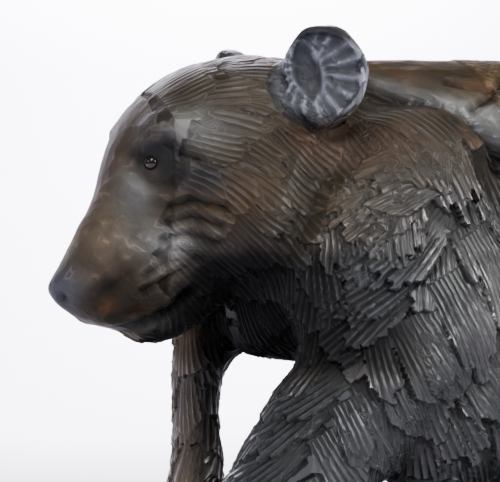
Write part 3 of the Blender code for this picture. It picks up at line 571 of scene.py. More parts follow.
# Hollows behind the shoulder, before the thigh and at the neck: the path on the left side, width and depth
BODY_HOLLOWS = [
    ([(92, -60, 178), (112, -62, 150), (120, -60, 118), (116, -55, 84)], 15, 5.0),
    ([(196, -60, 160), (192, -62, 118), (206, -58, 78)], 15, 4.5),
    ([(22, -58, 196), (14, -56, 168), (4, -50, 138)], 11, 3.6),
    ([(0, -30, 128), (14, -44, 116), (22, -56, 104)], 10, 3.0)]


def carve_body(points, normals):
    for side in (1, -1):
        for path, width, depth in BODY_HOLLOWS:
            groove(points, normals, points, np.array(path) * (1, side, 1), width, depth)


# Cuts on the near side of the fish, as x and z
FISH_MOUTH = [(80, 222), (90, 219.5), (99, 219)]
FISH_GILL = [(88, 209), (95, 214), (104, 221), (110, 228)]


def carve_salmon(points, normals):
    """The gill cover and the mouth."""
    flat = points * (1, 0, 1)
    near_side = ramp(4, 10, -points[:, 1])

    def cut(path, width, depth):
        groove(points, normals, flat, [(x, 0, z) for x, z in path], width, depth * near_side)

    cut(FISH_MOUTH, 2.6, 1.5)
    cut(FISH_GILL, 3.6, 2.4)
    groove(points, normals, points, [(110, 5, 230), (104, 14, 216)], 4.0, 2.4)


FLOW = [  # where the hair grows and which way, on the left side: place, then direction
    ((-52, -20, 222), (0.8, 0, 0.45)), ((-25, -20, 236), (1, 0, 0.1)),
    ((-40, -42, 200), (0.95, 0, 0)), ((-28, -46, 182), (0.9, 0, -0.45)),
    ((-5, -50, 205), (0.85, 0, -0.45)), ((-12, -50, 160), (0.7, 0, -0.7)),
    ((12, -54, 180), (0.5, 0, -0.85)), ((-30, -30, 140), (0.75, 0, -0.6)),
    ((36, -56, 206), (0.45, 0, -0.9)), ((40, -60, 170), (-0.05, 0, -1)),
    ((14, -50, 130), (-0.55, 0, -0.8)), ((30, -62, 130), (-0.65, 0, -0.75)),
    ((66, -62, 186), (0.4, 0, -0.9)), ((72, -64, 140), (0.6, 0, -0.8)),
    ((84, -60, 108), (0.55, 0, -0.8)), ((4, -70, 88), (-0.85, 0, -0.5)),
    ((48, -74, 92), (0.35, 0, -0.9)), ((-22, -70, 50), (-0.7, 0, -0.7)),
    ((20, -74, 50), (0.2, 0, -0.95)), ((110, -60, 170), (0.55, 0, -0.8)),
    ((125, -60, 120), (0.2, 0, -1)), ((160, -60, 160), (0.85, 0, -0.5)),
    ((160, -60, 100), (0.85, 0, -0.5)), ((160, -30, 50), (1, 0, -0.1)),
    ((225, -60, 165), (0.8, 0, -0.6)), ((230, -70, 110), (0.25, 0, -0.95)),
    ((285, -60, 120), (0.55, 0, -0.85)), ((290, -40, 165), (0.8, 0, -0.6)),
    ((260, -70, 50), (-0.4, 0, -0.9)), ((295, -70, 50), (0.3, 0, -0.95)),
    ((60, 0, 222), (1, 0, 0)), ((-12, -10, 118), (0.1, -0.3, -0.95)), ((-10, 45, 80), (0.1, 0, -1)),
]
FLOW_REACH = 24.0
PARTING = [(78, 186), (62, 152), (40, 115), (17, 77), (-4, 46)]  # down the shoulder and foreleg, as x and z
PARTING_REACH = 26.0
BEFORE_PARTING = (-0.84, 0.0, -0.54)
BEHIND_PARTING = (0.46, 0.0, -0.89)


def parting_flow(points, flow):
    """Turns the hair away from the parting, forward before it and back behind it."""
    flat = np.column_stack([points[:, 0], points[:, 2]])
    nearest, side = np.full(len(points), 1e9), np.zeros(len(points))
    for a, b in zip(np.array(PARTING, float), np.array(PARTING[1:], float)):
        t = np.clip((flat - a) @ (b - a) / ((b - a) @ (b - a)), 0, 1)
        off = flat - a - t[:, None] * (b - a)
        gap = row_lengths(off)
        closer = gap < nearest
        nearest[closer] = gap[closer]
        side[closer] = np.sign(off[:, 0])[closer] * gap[closer]
    turn = ramp(-2.5, 2.5, side)[:, None]
    parted = np.array(BEFORE_PARTING) * (1 - turn) + np.array(BEHIND_PARTING) * turn
    beside = ramp(20, 36, np.abs(points[:, 1]))
    share = (1 - ramp(0.5 * PARTING_REACH, PARTING_REACH, nearest)) * beside
    return flow + (parted - flow) * share[:, None]


def hair_flow(points):
    """The way the hair lies at each point, the same on both sides."""
    total = np.zeros((len(points), 3))
    for place, way in FLOW:
        for side in (1, -1):
            flip = np.array((1, side, 1))
            gap = ((points - np.array(place) * flip) ** 2).sum(1)
            total += np.outer(np.exp(-gap / (2 * FLOW_REACH**2)) + 1e-9 / (1 + gap), np.array(way) * flip)
    return units(parting_flow(points, units(total)))


def hair_cover(points):
    """How much hair each point carries, from 0 on the muzzle, ears, fish and toes to 1."""
    f, l, h = head_places(points).T
    bare = ramp(51, 58, f - 0.15 * np.clip(h, 0, None)) * ramp(-108, -96, h)
    ear_gap = np.sqrt((f - EAR_CENTRE[0]) ** 2 + (np.abs(l) - EAR_CENTRE[1]) ** 2 + (h - EAR_CENTRE[2]) ** 2)
    bare = np.maximum(bare, 1 - ramp(EAR_RADIUS - 2, EAR_RADIUS + 4, ear_gap))
    bare = np.maximum(bare, 1 - ramp(30, 38, path_distance(points, FISH_SPINE)))
    return (1 - bare) * ramp(8, 26, points[:, 2])


LOCK_LENGTH = 44.0
LOCK_WIDTH = 26.0
LOCK_SPACING = 21.0
LOCK_TRIALS = 14000  # places tried for a root
LEAST_COVER = 0.05  # of hair, where a lock still grows
LOCK_LEVEL = 0.55  # the share of the rise that lies under the skin
HEAD_LOCKS = 0.62  # how much smaller the locks are on the head


def lock_seeds(mesh, spacing, seed):
    """Lock roots, spread evenly: place, normal, way of growth, size, cover and three random numbers."""
    points, normals = read(mesh.vertices, "co"), soft_normals(mesh, 20)
    random.seed(seed)
    order = random.sample(range(len(points)), min(LOCK_TRIALS, len(points)))
    on_head = ramp(-45, -15, head_places(points)[:, 0])
    size = 1 - (1 - HEAD_LOCKS) * on_head
    cover, flow = hair_cover(points), hair_flow(points)
    taken, seeds = {}, []
    for i in order:
        step = spacing * size[i]
        cell = tuple(np.floor(points[i] / (0.6 * step)).astype(int))
        around = [(cell[0] + a, cell[1] + b, cell[2] + c)
                  for a in (-1, 0, 1) for b in (-1, 0, 1) for c in (-1, 0, 1)]
        near = [taken[k] for k in around if k in taken]
        if cover[i] < LEAST_COVER or any(np.linalg.norm(points[i] - other) < step for other in near):
            continue
        taken[cell] = points[i]
        way = flow[i] - normals[i] * (flow[i] @ normals[i])
        way /= np.linalg.norm(way)
        seeds.append((points[i], normals[i], way, size[i] * (0.85 + 0.3 * random.random()),
                      cover[i], random.random(), random.random(), random.randrange(10**6)))
    return seeds


# The fine carving, in figure units
FINE_VOXEL = 0.95
VISIBLE_TRIANGLES = 196000
STRAND_PITCH = 2.9  # between the ridges that a small gouge leaves
FINE_CUT = 0.62
FINE_RISE = 3.1  # from a lock's root to its tip
UNDER_DROP = 0.7  # how far the locks that fill the gaps lie below the rest
SCOOP_SPACING = 5.5  # between the flat knife cuts on the muzzle, the feet and the fish
SCOOP_LENGTH = 12.0
SCOOP_WIDTH = 6.0
SCOOP_DEPTH = 1.0


def eye_centre(side):
    """The middle of the solid's glass bead, from the frame."""
    low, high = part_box("eye_left" if side == 1 else "eye_right")
    return (Vector(low) + Vector(high)) / 2


class Grid:
    """Finds the points near a place, by sorting them into cubes."""

    def __init__(self, points, cell):
        self.points, self.cell = points, cell
        keys = np.floor(points / cell).astype(np.int64)
        self.low = keys.min(0)
        keys -= self.low
        self.shape = keys.max(0) + 1
        flat = (keys[:, 0] * self.shape[1] + keys[:, 1]) * self.shape[2] + keys[:, 2]
        self.order = np.argsort(flat, kind="stable")
        self.starts = np.searchsorted(flat[self.order], np.arange(int(np.prod(self.shape)) + 1))

    def near(self, place, radius):
        low = np.clip(np.floor((place - radius) / self.cell).astype(int) - self.low, 0, self.shape - 1)
        high = np.clip(np.floor((place + radius) / self.cell).astype(int) - self.low, 0, self.shape - 1)
        runs = []
        for i in range(low[0], high[0] + 1):
            for j in range(low[1], high[1] + 1):
                row = (i * self.shape[1] + j) * self.shape[2]
                runs.append(self.order[self.starts[row + low[2]] : self.starts[row + high[2] + 1]])
        found = np.concatenate(runs)
        gap = ((self.points[found] - place) ** 2).sum(1)
        return found[gap < radius * radius]


def blank_relief(count):
    """Height, place on the stroke and nearness to its ridge, all 0."""
    return np.zeros(count), np.zeros((count, 3)), np.zeros(count)


def cut_locks(grid, normals, seeds):
    """The locks with their strands: height, place on the strand, ridge, and which points they touch."""
    points, (height, stroke, ridge) = grid.points, blank_relief(len(grid.points))
    touched = np.zeros(len(points), bool)
    for place, normal, way, size, cover, bend, widen, number in seeds:
        length, width = LOCK_LENGTH * size, LOCK_WIDTH * size * (0.8 + 0.4 * widen)
        strands = max(3, round(width / STRAND_PITCH))
        near = grid.near(place + way * length / 2, 0.62 * length + width / 2)
        near = near[normals[near] @ normal > 0.35]
        if not len(near):
            continue
        offset = points[near] - place
        along = offset @ way / length
        across = offset @ np.cross(normal, way) / width
        across = (across + 0.5 * (bend - 0.5) * np.abs(along) * along) / (0.8 + 0.3 * np.clip(along, 0, 1))
        spot = (across + 0.5) * strands
        strand = np.clip(np.floor(spot), 0, strands - 1).astype(int)
        rolls = np.random.RandomState(number)
        ends = rolls.uniform(0.78, 1.0, strands)
        level = rolls.uniform(-0.16, 0.16, strands)
        lean = rolls.uniform(-0.22, 0.22, strands)
        end = ends[strand] * (1 - 0.9 * across**2)
        inside = (np.abs(across) < 0.5) & (along > -0.12) & (along < end)
        side = 2 * (spot - strand) - 1
        fade = ramp(-0.1, 0.25, along)
        trough = (1 - side**2) * fade
        rise = FINE_RISE * (np.clip(along / end, 0, 1) - LOCK_LEVEL)
        rise = rise * size - (FINE_CUT * trough - level[strand] - lean[strand] * side) * fade
        rise = rise * cover
        hit, value = near[inside], rise[inside]
        wins = ~touched[hit] | (value > height[hit])
        won = hit[wins]
        height[won] = value[wins]
        touched[won] = True
        chosen = np.flatnonzero(inside)[wins]
        stroke[won, 0] = along[chosen] * length
        stroke[won, 1] = spot[chosen]
        stroke[won, 2] = number % 97
        ridge[won] = np.abs(side[chosen]) ** 3 * (0.35 + 0.65 * np.clip(along[chosen] / end[chosen], 0, 1))
    return height, stroke, ridge, touched


def scoop_seeds(points, normals, weight, spacing, seed):
    """Places for knife facets where the weight is above a half: one for each cube of the spacing."""
    rolls = np.random.RandomState(seed)
    chosen = np.flatnonzero(weight > 0.5)
    chosen = chosen[rolls.permutation(len(chosen))]
    cells = np.floor(points[chosen] / spacing).astype(np.int64)
    _, first = np.unique(cells @ np.array((73856093, 19349663, 83492791)), return_index=True)
    return chosen[np.sort(first)]


def cut_scoops(grid, normals, seeds, ways, seed):
    """Overlapping shallow scoops. Where two meet the deeper one wins, which leaves a crisp edge."""
    rolls = np.random.RandomState(seed)
    points, (height, stroke, ridge) = grid.points, blank_relief(len(grid.points))
    for i in seeds:
        place, normal = points[i], normals[i]
        way = ways[i] - normal * (ways[i] @ normal)
        way = way / max(np.linalg.norm(way), 1e-6)
        long, wide = SCOOP_LENGTH * rolls.uniform(0.75, 1.25), SCOOP_WIDTH * rolls.uniform(0.8, 1.2)
        deep = SCOOP_DEPTH * rolls.uniform(0.7, 1.2)
        near = grid.near(place, max(long, wide))
        near = near[normals[near] @ normal > 0.3]
        offset = points[near] - place
        reach = (offset @ way / long) ** 2 + (offset @ np.cross(normal, way) / wide) ** 2
        value = -deep * np.clip(1 - reach, 0, None)
        wins = value < height[near]
        won = near[wins]
        height[won] = value[wins]
        ridge[won] = np.clip(reach[wins], 0, 1) ** 2
        stroke[won, 0] = offset[wins] @ way
        stroke[won, 1] = 0.5 + 0.3 * (offset[wins] @ np.cross(normal, way))
        stroke[won, 2] = i % 89
    return height, stroke, ridge


def fish_places(points):
    """Places on the salmon: along it, from back (-1) to belly (1), out of its side, off its spine."""
    frames = fish_frames(12)
    middles = np.array([place for place, *_ in frames])
    lengths = np.concatenate([[0], np.cumsum(row_lengths(np.diff(middles, axis=0)))])
    close = np.flatnonzero(path_distance(points, FISH_SPINE) < FISH_REACH)
    nearest = np.full(len(close), 1e9)
    which = np.zeros(len(close), int)
    for k, middle in enumerate(middles):
        gap = ((points[close] - middle) ** 2).sum(1)
        which[gap < nearest] = k
        nearest = np.minimum(nearest, gap)
    offset = points[close] - middles[which]
    tangent, depth, flank = (np.array([frame[k] for frame in frames])[which] for k in (1, 2, 3))
    sizes = np.array([frame[4] for frame in frames])[which]
    down = (offset * depth).sum(1)
    place = np.full((len(points), 4), (0.0, 0.0, -1e3, 1e3))
    place[close, 0] = lengths[which] + (offset * tangent).sum(1)
    place[close, 1] = down / np.where(down < 0, sizes[:, 0], sizes[:, 1])
    place[close, 2] = (offset * flank).sum(1)
    place[close, 3] = np.hypot(down / sizes[:, :2].mean(1), place[close, 2] / sizes[:, 2])
    return place


FISH_REACH = 42.0
GILL = 62.0  # how far behind the snout the gill cover ends
SCALE_PITCH = 4.6
SCALE_WIDTH = 4.2
SCALE_RISE = 0.55


def cut_scales(fish):
    """Small scales behind the gills: height, nearness to their lifted edges, and where they are."""
    along, across = fish[:, 0] / SCALE_PITCH, np.arctan2(fish[:, 1], fish[:, 2] / 22) * 24 / SCALE_WIDTH
    to_edge = np.ones(len(fish))
    for k in (0, 0.5):
        t = across + k - np.round(across + k)
        phase = along + k - np.sqrt(np.clip(1 - (2 * t) ** 2, 0, 1)) * 0.5
        to_edge = np.minimum(to_edge, np.ceil(phase) - phase)
    scaly = ramp(GILL, GILL + 3, fish[:, 0] - 14 * fish[:, 1]) * (1 - ramp(258, 268, fish[:, 0]))
    scaly = scaly * (np.abs(fish[:, 1]) < 0.8) * (fish[:, 3] < 1.35)
    return SCALE_RISE * (1 - 2 * to_edge) * scaly, np.clip(1 - 3 * to_edge, 0, 1) * scaly, scaly


def plinth_form(bm):
    """The plinth as one more form of the figure."""
    levels = ((PLINTH_FOOT, PLINTH_FOOT_CHAMFER), (PLINTH_FOOT + PLINTH_FOOT_CHAMFER, 0),
              (-PLINTH_CHAMFER, 0), (0, PLINTH_CHAMFER))
    skin_rings(bm, [[(x, y, z) for x, y in plinth_outline(inset)] for z, inset in levels])


def stroke_depth(points, bare):
    """How deep the strokes run: shallow on the head and nape, deepest on the shoulder."""
    high = ramp(128, 165, points[:, 2] - 0.35 * points[:, 0])
    shoulder = near_to(points[:, [0, 2]], (56, 132), (40, 44))
    return 1 - 0.6 * high * (1 - 0.35 * bare) + 0.35 * shoulder


def carved_bear():
    """The whole figure, carved fine, with its stain and painted light stored on its points."""
    body = body_mesh()
    bm = bmesh.new()
    bm.from_mesh(body)
    salmon(bm)
    for side in (1, -1):
        ear(bm, side)
    for foot, _ in LEGS:
        claws(bm, *foot)
    plinth_form(bm)
    mesh = grown(bm, FINE_VOXEL)
    seeds = lock_seeds(body, LOCK_SPACING, 7)
    lower_seeds = lock_seeds(body, LOCK_SPACING * 0.8, 8)
    bpy.data.meshes.remove(body)
    points = smoothed(mesh, read(mesh.vertices, "co"), 5)
    write_points(mesh, points)
    normals = soft_normals(mesh, 8)
    carve_face(points, normals)
    carve_ears(points, normals)
    carve_body(points, normals)
    carve_salmon(points, normals)
    grid = Grid(points.copy(), 6.0)
    height, stroke, ridge, touched = cut_locks(grid, normals, seeds)
    under = cut_locks(grid, normals, lower_seeds)
    height = np.where(touched, height, under[0] - UNDER_DROP * under[3])
    stroke[~touched] = under[1][~touched]
    ridge[~touched] = under[2][~touched]
    cover = hair_cover(points)
    flow = hair_flow(points)
    bare = 1 - cover
    bare[points[:, 2] < PLINTH_FOOT + 1] = 0
    marks = scoop_seeds(points, normals, bare, SCOOP_SPACING, 3)
    low, low_stroke, low_ridge = cut_scoops(grid, normals, marks, flow, 4)
    blend = ramp(0.35, 0.65, bare)
    height += low * blend
    mask = blend > 0.5
    stroke[mask] = low_stroke[mask]
    ridge = np.where(mask, low_ridge, ridge)
    fish = fish_places(points)
    scales, edges, scaly = cut_scales(fish)
    height = height * (1 - scaly) + scales
    ridge = np.maximum(ridge * (1 - scaly), edges)
    points += normals * (height * stroke_depth(points, blend))[:, None]
    points[:, 2] = np.where(points[:, 2] < PLINTH_FOOT + 0.8, PLINTH_FOOT, points[:, 2])
    write_points(mesh, points)
    store(mesh, "stroke", stroke, "FLOAT_VECTOR", "vector")
    stain_and_painted_light, shine = stain_and_painted_light_colors(points, height, ridge, sunk_depth(mesh, points, 30), fish)
    store(mesh, "stain_and_painted_light", np.column_stack([stain_and_painted_light, np.ones(len(stain_and_painted_light))]), "FLOAT_COLOR", "color")
    store(mesh, "shine", shine)
    return mesh


def store(mesh, name, values, kind="FLOAT", slot="value"):
    mesh.attributes.new(name, kind, "POINT").data.foreach_set(slot, values.astype(np.float32).ravel())


STREAK_STRETCH = (0.06, 4.0, 1.0)  # along a stroke, across it, and from one stroke to the next

# The stains, as linear colours, some of them also laid as painted shade and painted highlight
BLACK = np.array((0.0015, 0.0015, 0.0016))
SLATE = np.array((0.0120, 0.0125, 0.0135))
UMBER = np.array((0.0152, 0.0093, 0.0031))
TAN = np.array((0.0850, 0.0640, 0.0440))
GREY = np.array((0.0700, 0.0690, 0.0640))
RUST = np.array((0.0900, 0.0330, 0.0070))
BLUE_BLACK = np.array((0.0050, 0.0052, 0.0062))


def near_to(points, centre, radius):
    return np.exp(-(((points - np.array(centre, float)) / radius) ** 2).sum(1))


def smooth_noise(points, size, seed, rounds=24):
    """Soft blotches between -1 and 1: a sum of waves that run every way."""
    rolls = np.random.RandomState(seed)
    total = np.zeros(len(points))
    for _ in range(rounds):
        way = rolls.normal(size=3)
        way *= rolls.uniform(0.5, 1.6) * 2 * math.pi / size / np.linalg.norm(way)
        total += np.sin(points @ way + rolls.uniform(0, 2 * math.pi))
    return np.clip(total / math.sqrt(rounds), -1.6, 1.6) / 1.6


def sunk_depth(mesh, points, rounds):
    """How far each point lies below the skin round it: more than 0 in a cut, less on a ridge."""
    return ((smoothed(mesh, points, rounds) - points) * read(mesh.vertex_normals, "vector")).sum(1)


def stain_and_painted_light_colors(points, height, ridge, sunk, fish):
    """The stain with painted light, and its shine: umber above, slate below, black under the chin, the ridges
    lighter from wear and painted highlight, painted shade in the cuts and hollows.
    """
    x, y, z = points.T
    f, l, h = head_places(points).T
    face = np.column_stack([f, np.abs(l), h])
    flat = np.column_stack([f, h])
    blotch = smooth_noise(points, 60, 11)
    fine = smooth_noise(points, 18, 12)
    leaning = flat @ np.array(((0.94, 0.34), (-0.34, 0.94))) * (0.35, 1)
    streak = smooth_noise(np.column_stack([leaning, l]), 7, 13)
    up = ramp(132, 192, z + 12 * blotch)
    color = np.tile(SLATE, (len(points), 1))

    def lay(stain_and_painted_light, share):
        nonlocal color
        color = color + (stain_and_painted_light - color) * np.clip(share, 0, 1)[:, None]

    lay(UMBER, up)
    on_head = ramp(-48, -22, f) * ramp(-104, -90, h)
    lay(UMBER * (1.45 + 0.4 * fine[:, None]), on_head * 0.9)
    lay(TAN * 0.3, 0.75 * on_head * ramp(0, 30, h + 6 * fine))
    profile = on_head * ramp(50, 68, f) * (1 - ramp(12, 28, np.abs(l)))
    lay(TAN * 0.75, 0.75 * profile)
    lay(TAN * (1.1 + 0.5 * fine[:, None]), 0.75 * on_head * ramp(52, 74, f - 0.3 * (h + 40)))

    def dab(centre, radii, stain_and_painted_light, share):
        lay(stain_and_painted_light, share * on_head * near_to(flat, centre, radii))

    # As forward and up: the brow's grooves, tear trough, cheekbone, painted shade in the eye hollow and its
    # tail, cheek and lip
    dab((47, 6), (17, 9), GREY * 0.95, 1.0)
    dab((69, -22), (6, 13), GREY * 1.2, 1.2)
    dab((57, -44), (13, 9), GREY * (1.7 + 1.1 * fine[:, None]), 1.0)
    # Painted shade: blue-black in the eye hollow and behind it
    dab((60, -5), (9, 7), BLUE_BLACK, 1.6)
    dab((47, -15), (12, 7), BLUE_BLACK, 1.3)
    dab((24, -32), (20, 18), UMBER * 0.95, 0.9)
    dab((74, -66), (17, 12), UMBER * 0.45, 1.8)
    # Rubbed streaks on the lip and cheek, the nose, painted shade in the nostrils, and the lower lip
    rust = ramp(0.1, 0.6, streak)
    dab((73, -66), (15, 10), RUST * 0.35, 1.1 * rust)
    dab((46, -27), (9, 6), RUST * 0.4, 1.1 * rust)
    dab((100, -62), (9, 12), BLUE_BLACK * 8, 1.5)
    # Painted shade: near black in the nostrils
    dab((103, -70), (6, 4), BLACK * 3, 1.5)
    dab((61, -77), (11, 3.2), GREY * 0.6, 1.3)
    border = -41 - 1.75 * np.clip(f - 41, 0, None)
    under = on_head * ramp(-2, 9, border - h + 3 * fine)
    lay(BLACK * 3, 0.95 * under)
    dab((61, -77), (10, 2.6), GREY * 0.5, 1.0)
    lay(RUST * 0.8, 1.2 * near_to(face, (EYE[0] + 1, EYE[1] + 1, EYE[2] - 3.5), 2.4))
    # Painted shade: near black on the chest, between the forelegs
    chest_painted_shade = near_to(points, (0, 0, 118), (34, 60, 34))
    lay(BLACK, 1.3 * chest_painted_shade)
    in_ear = 1 - ramp(EAR_RADIUS - 2, EAR_RADIUS + 3, row_lengths(face - EAR_CENTRE))
    rim = ramp(0.7, 0.86, row_lengths(flat - (EAR_CENTRE[0], EAR_CENTRE[2])) / EAR_RADIUS)
    lay(BLUE_BLACK * (10 - 7 * rim[:, None]), in_ear)
    lay(RUST * 0.32, 0.55 * ramp(0.15, 0.75, blotch) * up * (1 - in_ear))
    on_fish = 1 - ramp(1.15, 1.45, fish[:, 3])
    flank = UMBER * 1.1 + TAN * 0.18 + RUST * 0.25 * ramp(0, 0.7, fine)[:, None]
    lay(flank, on_fish * 0.9)
    # A pale band along the fish's belly edge: partly the belly's own pale tone, partly a painted sheen
    pale_belly_and_sheen = on_fish * ramp(0.68, 0.8, fish[:, 1]) * (1 - ramp(1.02, 1.12, fish[:, 1]))
    lay(GREY * 1.5, pale_belly_and_sheen * (1 - 0.5 * ramp(120, 220, fish[:, 0])))
    # Painted shade in the trench under the fish's belly, with rust streaks in it
    beside = ramp(1.1, 1.25, fish[:, 3]) * (1 - ramp(1.5, 1.9, fish[:, 3])) * (fish[:, 1] > 0.6)
    lay(UMBER * 0.5 + RUST * 0.3 * rust[:, None], 0.9 * beside)
    behind = np.minimum(on_fish, 1 - ramp(0.1, 0.6, fish[:, 1]))
    far_leg = ramp(20, 30, y) * (1 - ramp(6, 18, x)) * (1 - ramp(104, 124, z)) * ramp(4, 12, z)
    lay(UMBER * 0.9, 0.8 * far_leg)
    # Painted light: the far foreleg's front side paler
    lay(TAN * 0.8, far_leg * (1 - ramp(-24, -16, x)))
    side_view = np.column_stack([x, z])
    side_painted_highlight = near_to(side_view, (92, 128), (16, 26))
    shoulder = near_to(side_view, (52, 136), (36, 40))
    # Where the ridges get the strongest painted highlight: the shoulder, the side patch and the ear's hollow
    painted_highlight_spots = np.maximum(np.maximum(shoulder, side_painted_highlight), in_ear * (1 - rim))
    lay(SLATE * 0.8, shoulder)
    # Painted highlight: a paler grey patch on the side behind the shoulder
    lay(GREY * 0.42, side_painted_highlight)
    # Painted shade: darker behind the near foreleg's elbow, under the belly
    lay(SLATE * 0.5, near_to(side_view, (80, 66), (30, 34)))
    # Lighter on the ridges and crests: partly wear, partly painted highlight, much stronger at the painted
    # highlight spots
    wear_and_painted_highlight = np.clip(ridge, 0, 1) ** 2 + ramp(0.1, 0.7, -sunk) * (1 - in_ear * rim)
    color = color * (1 + (0.6 + 3.2 * painted_highlight_spots) * wear_and_painted_highlight)[:, None]
    # How far a point lies in a cut or a trough between strands
    deep = np.maximum(ramp(0.6, 2.6, -height), ramp(0.05, 0.8, sunk)) * (1 - 0.6 * in_ear)
    dull = np.clip(np.maximum(0.95 * under, 1.3 * chest_painted_shade), 0, 1)
    shine = (0.7 + 0.3 * np.clip(wear_and_painted_highlight, 0, 1)) * (1 - 0.85 * dull) * (1 - 0.6 * deep)
    shine = shine * (1 - 0.85 * behind) * (1 - 0.5 * profile)
    shine = shine * (1 - 0.45 * np.maximum(on_head, up) * (1 - painted_highlight_spots))
    shine = shine * (1 + 0.5 * np.maximum(shoulder, side_painted_highlight)) * (1 - 0.6 * (1 - ramp(0, 5, z)))
    # Painted shade: the colour darkened in the cuts and troughs
    return color * (1 - 0.65 * deep)[:, None], shine


def finish_mesh(mesh):
    """Thins the mesh out, and keeps what is stored on it."""
    obj = bpy.data.objects.new("carved_wood", mesh)
    in_scene(obj)
    mesh.transform(TO_WORLD)
    faces = sum(len(p.vertices) - 2 for p in mesh.polygons)
    thin = obj.modifiers.new("thin out", "DECIMATE")
    thin.ratio = VISIBLE_TRIANGLES / faces
    graph = bpy.context.evaluated_depsgraph_get()
    skin = bpy.data.meshes.new_from_object(obj.evaluated_get(graph), preserve_all_data_layers=True,
                                           depsgraph=graph)
    obj.modifiers.clear()
    obj.data = skin
    bpy.data.meshes.remove(mesh)
    return obj


def wood():
    """Stained, lacquered wood, streaked along the strokes, lighter on the ridges from wear and painted
    highlight, with fine tool lines as bump.
    """
    material = bpy.data.materials.new("stained_wood")
    material.use_nodes = True
    tree = material.node_tree
    link, shader = tree.links.new, tree.nodes["Principled BSDF"]

    def node(kind, sockets, output=0, **settings):
        """A node with its settings, and its sockets linked or given a plain value. Gives one output."""
        made = tree.nodes.new("ShaderNode" + kind)
        for name, setting in settings.items():
            setattr(made, name, setting)
        for socket, value in sockets.items():
            if isinstance(value, bpy.types.NodeSocket):
                link(value, made.inputs[socket])
            else:
                made.inputs[socket].default_value = value
        return made.outputs[output]

    def calc(operation, *values):
        return node("Math", dict(enumerate(values)), operation=operation)

    def mapped(value, low, high, first, last):
        limits = {"From Min": low, "From Max": high, "To Min": first, "To Max": last}
        return node("MapRange", {"Value": value, **limits})

    def stored(name, output):
        return node("Attribute", {}, output, attribute_name=name)

    stroke, shine = stored("stroke", "Vector"), stored("shine", "Fac")
    stretched = node("VectorMath", {0: stroke, 1: STREAK_STRETCH}, operation="MULTIPLY")
    streaks = node("TexNoise", {"Scale": 1.6, "Detail": 3, "Vector": stretched}, "Fac")
    place = node("TexCoord", {}, "Object")
    blotch = node("TexNoise", {"Scale": 55, "Detail": 4, "Vector": place}, "Fac")
    # Across a strand, from 0 in the middle of its trough to 1 on the ridges beside it
    fraction = calc("FRACT", node("SeparateXYZ", {0: stroke}, "Y"))
    across = calc("ABSOLUTE", calc("MULTIPLY_ADD", fraction, 2.0, -1.0))
    # Base colour lighter on the strands' ridges and darker in their troughs: partly wear, partly painted
    # highlight and shade
    wear_and_painted_highlight = calc("MULTIPLY_ADD", calc("POWER", across, 5.0), 0.9, 0.85)
    tone = calc("MULTIPLY", mapped(blotch, 0.3, 0.7, 0.7, 1.3), mapped(streaks, 0.3, 0.7, 0.75, 1.25))
    tone = calc("MULTIPLY", tone, wear_and_painted_highlight)
    color = node("VectorMath", {0: stored("stain_and_painted_light", "Color"), "Scale": tone}, operation="SCALE")
    link(color, shader.inputs["Base Color"])
    link(calc("MULTIPLY_ADD", blotch, 0.3, mapped(shine, 0, 1, 0.5, 0.14)), shader.inputs["Roughness"])
    link(calc("MULTIPLY", shine, 0.6), shader.inputs["Specular IOR Level"])
    relief = calc("MULTIPLY_ADD", streaks, 0.5, calc("POWER", across, 2.5))
    strength = calc("MULTIPLY_ADD", shine, 0.95, 0.1)
    bump = node("Bump", {"Height": relief, "Strength": strength, "Distance": 0.0004})
    link(bump, shader.inputs["Normal"])
    return material


def plain_material(name, color, roughness, specular=0.5):
    material = bpy.data.materials.new(name)
    material.use_nodes = True
    shader = material.node_tree.nodes["Principled BSDF"]
    shader.inputs["Base Color"].default_value = (*color, 1)
    shader.inputs["Roughness"].default_value = roughness
    shader.inputs["Specular IOR Level"].default_value = specular
    return material


def smooth_object(name, bm, material):
    """The bmesh as a smooth object of one material."""
    mesh = bpy.data.meshes.new(name)
    bm.to_mesh(mesh)
    bm.free()
    mesh.shade_smooth()
    mesh.materials.append(material)
    obj = bpy.data.objects.new(name, mesh)
    in_scene(obj)
    return obj


def glass_eye(name, side, material):
    bm = bmesh.new()
    bmesh.ops.create_uvsphere(bm, u_segments=40, v_segments=24, radius=EYE_DIAMETER / 2)
    obj = smooth_object(name, bm, material)
    obj.location = eye_centre(side)
    return obj


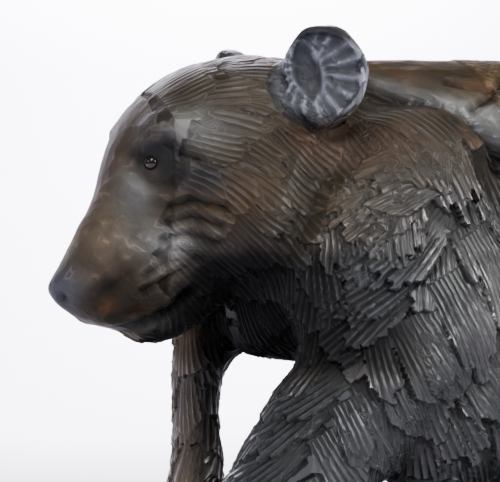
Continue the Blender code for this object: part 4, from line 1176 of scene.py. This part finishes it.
def studio():
    """A pale floor that sweeps up into a pale backdrop, and broad soft lights."""
    paper = plain_material("pale_cloth", (0.80, 0.79, 0.90), 0.9)
    bm = bmesh.new()
    profile = [(-1.6, 0.0), (0.75, 0.0)]
    for a in np.linspace(0.1, math.pi / 2, 12):
        profile.append((0.75 + 0.35 * math.sin(a), 0.35 - 0.35 * math.cos(a)))
    profile.append((1.1, 2.4))
    rows = [[bm.verts.new((x, y, z)) for x in (-3.0, 3.0)] for y, z in profile]
    for first, second in zip(rows, rows[1:]):
        bm.faces.new((first[0], first[1], second[1], second[0]))
    smooth_object("backdrop", bm, paper)
    world = bpy.data.worlds.new("studio")
    world.use_nodes = True
    background = world.node_tree.nodes["Background"]
    background.inputs["Color"].default_value = (0.93, 0.95, 1.0, 1)
    background.inputs["Strength"].default_value = 0.13
    bpy.context.scene.world = world
    soft_light("key", (-0.2, -0.85, 1.1), 0.35, 16)
    soft_light("front", (-1.0, -0.45, 0.55), 0.4, 3)
    soft_light("side", (0.85, -0.6, 0.6), 0.25, 18)
    soft_light("back", (0.15, 0.45, 1.2), 0.6, 2)
    soft_light("wall", (0.1, 0.75, 0.9), 0.7, 95, (0.1, 1.4, 0.5))


def aimed(name, data, place, ahead):
    """A light or camera in the scene at the place, turned the way ahead."""
    obj = bpy.data.objects.new(name, data)
    obj.location = place
    obj.rotation_mode = "QUATERNION"
    obj.rotation_quaternion = ahead.to_track_quat("-Z", "Y")
    in_scene(obj)
    return obj


def soft_light(name, place, size, power, target=(-0.05, 0, 0.15)):
    light = bpy.data.lights.new(name, "AREA")
    light.shape = "DISK"
    light.size = size
    light.energy = power
    aimed(name, light, place, Vector(target) - Vector(place))


CAMERA_AZIMUTH = math.radians(-12)
CAMERA_DISTANCE = 0.8  # from the middle of the head
CAMERA_HEIGHT = 0.170
FRAME_WIDTH = 0.225  # what the photograph spans at that distance


def camera():
    data = bpy.data.cameras.new("camera")
    data.sensor_width = 36
    data.lens = 36 * CAMERA_DISTANCE / FRAME_WIDTH
    data.clip_start = 0.05
    ahead = Vector((-math.sin(CAMERA_AZIMUTH), math.cos(CAMERA_AZIMUTH), 0))
    place = Vector((FIGURE_X * UNIT, 0, CAMERA_HEIGHT)) - ahead * CAMERA_DISTANCE
    bpy.context.scene.camera = aimed("camera", data, place, ahead)


bear = finish_mesh(carved_bear())
bear.data.materials.append(wood())
bear.data.shade_flat()
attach(bear, "root")
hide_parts("carved_bear")

glass = plain_material("eye_glass", (0.008, 0.006, 0.005), 0.04, 0.35)
for name, side in (("left", 1), ("right", -1)):
    eye = glass_eye(f"glass_eye_{name}", side, glass)
    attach(eye, "root")
    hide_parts(f"eye_{name}")

studio()
camera()
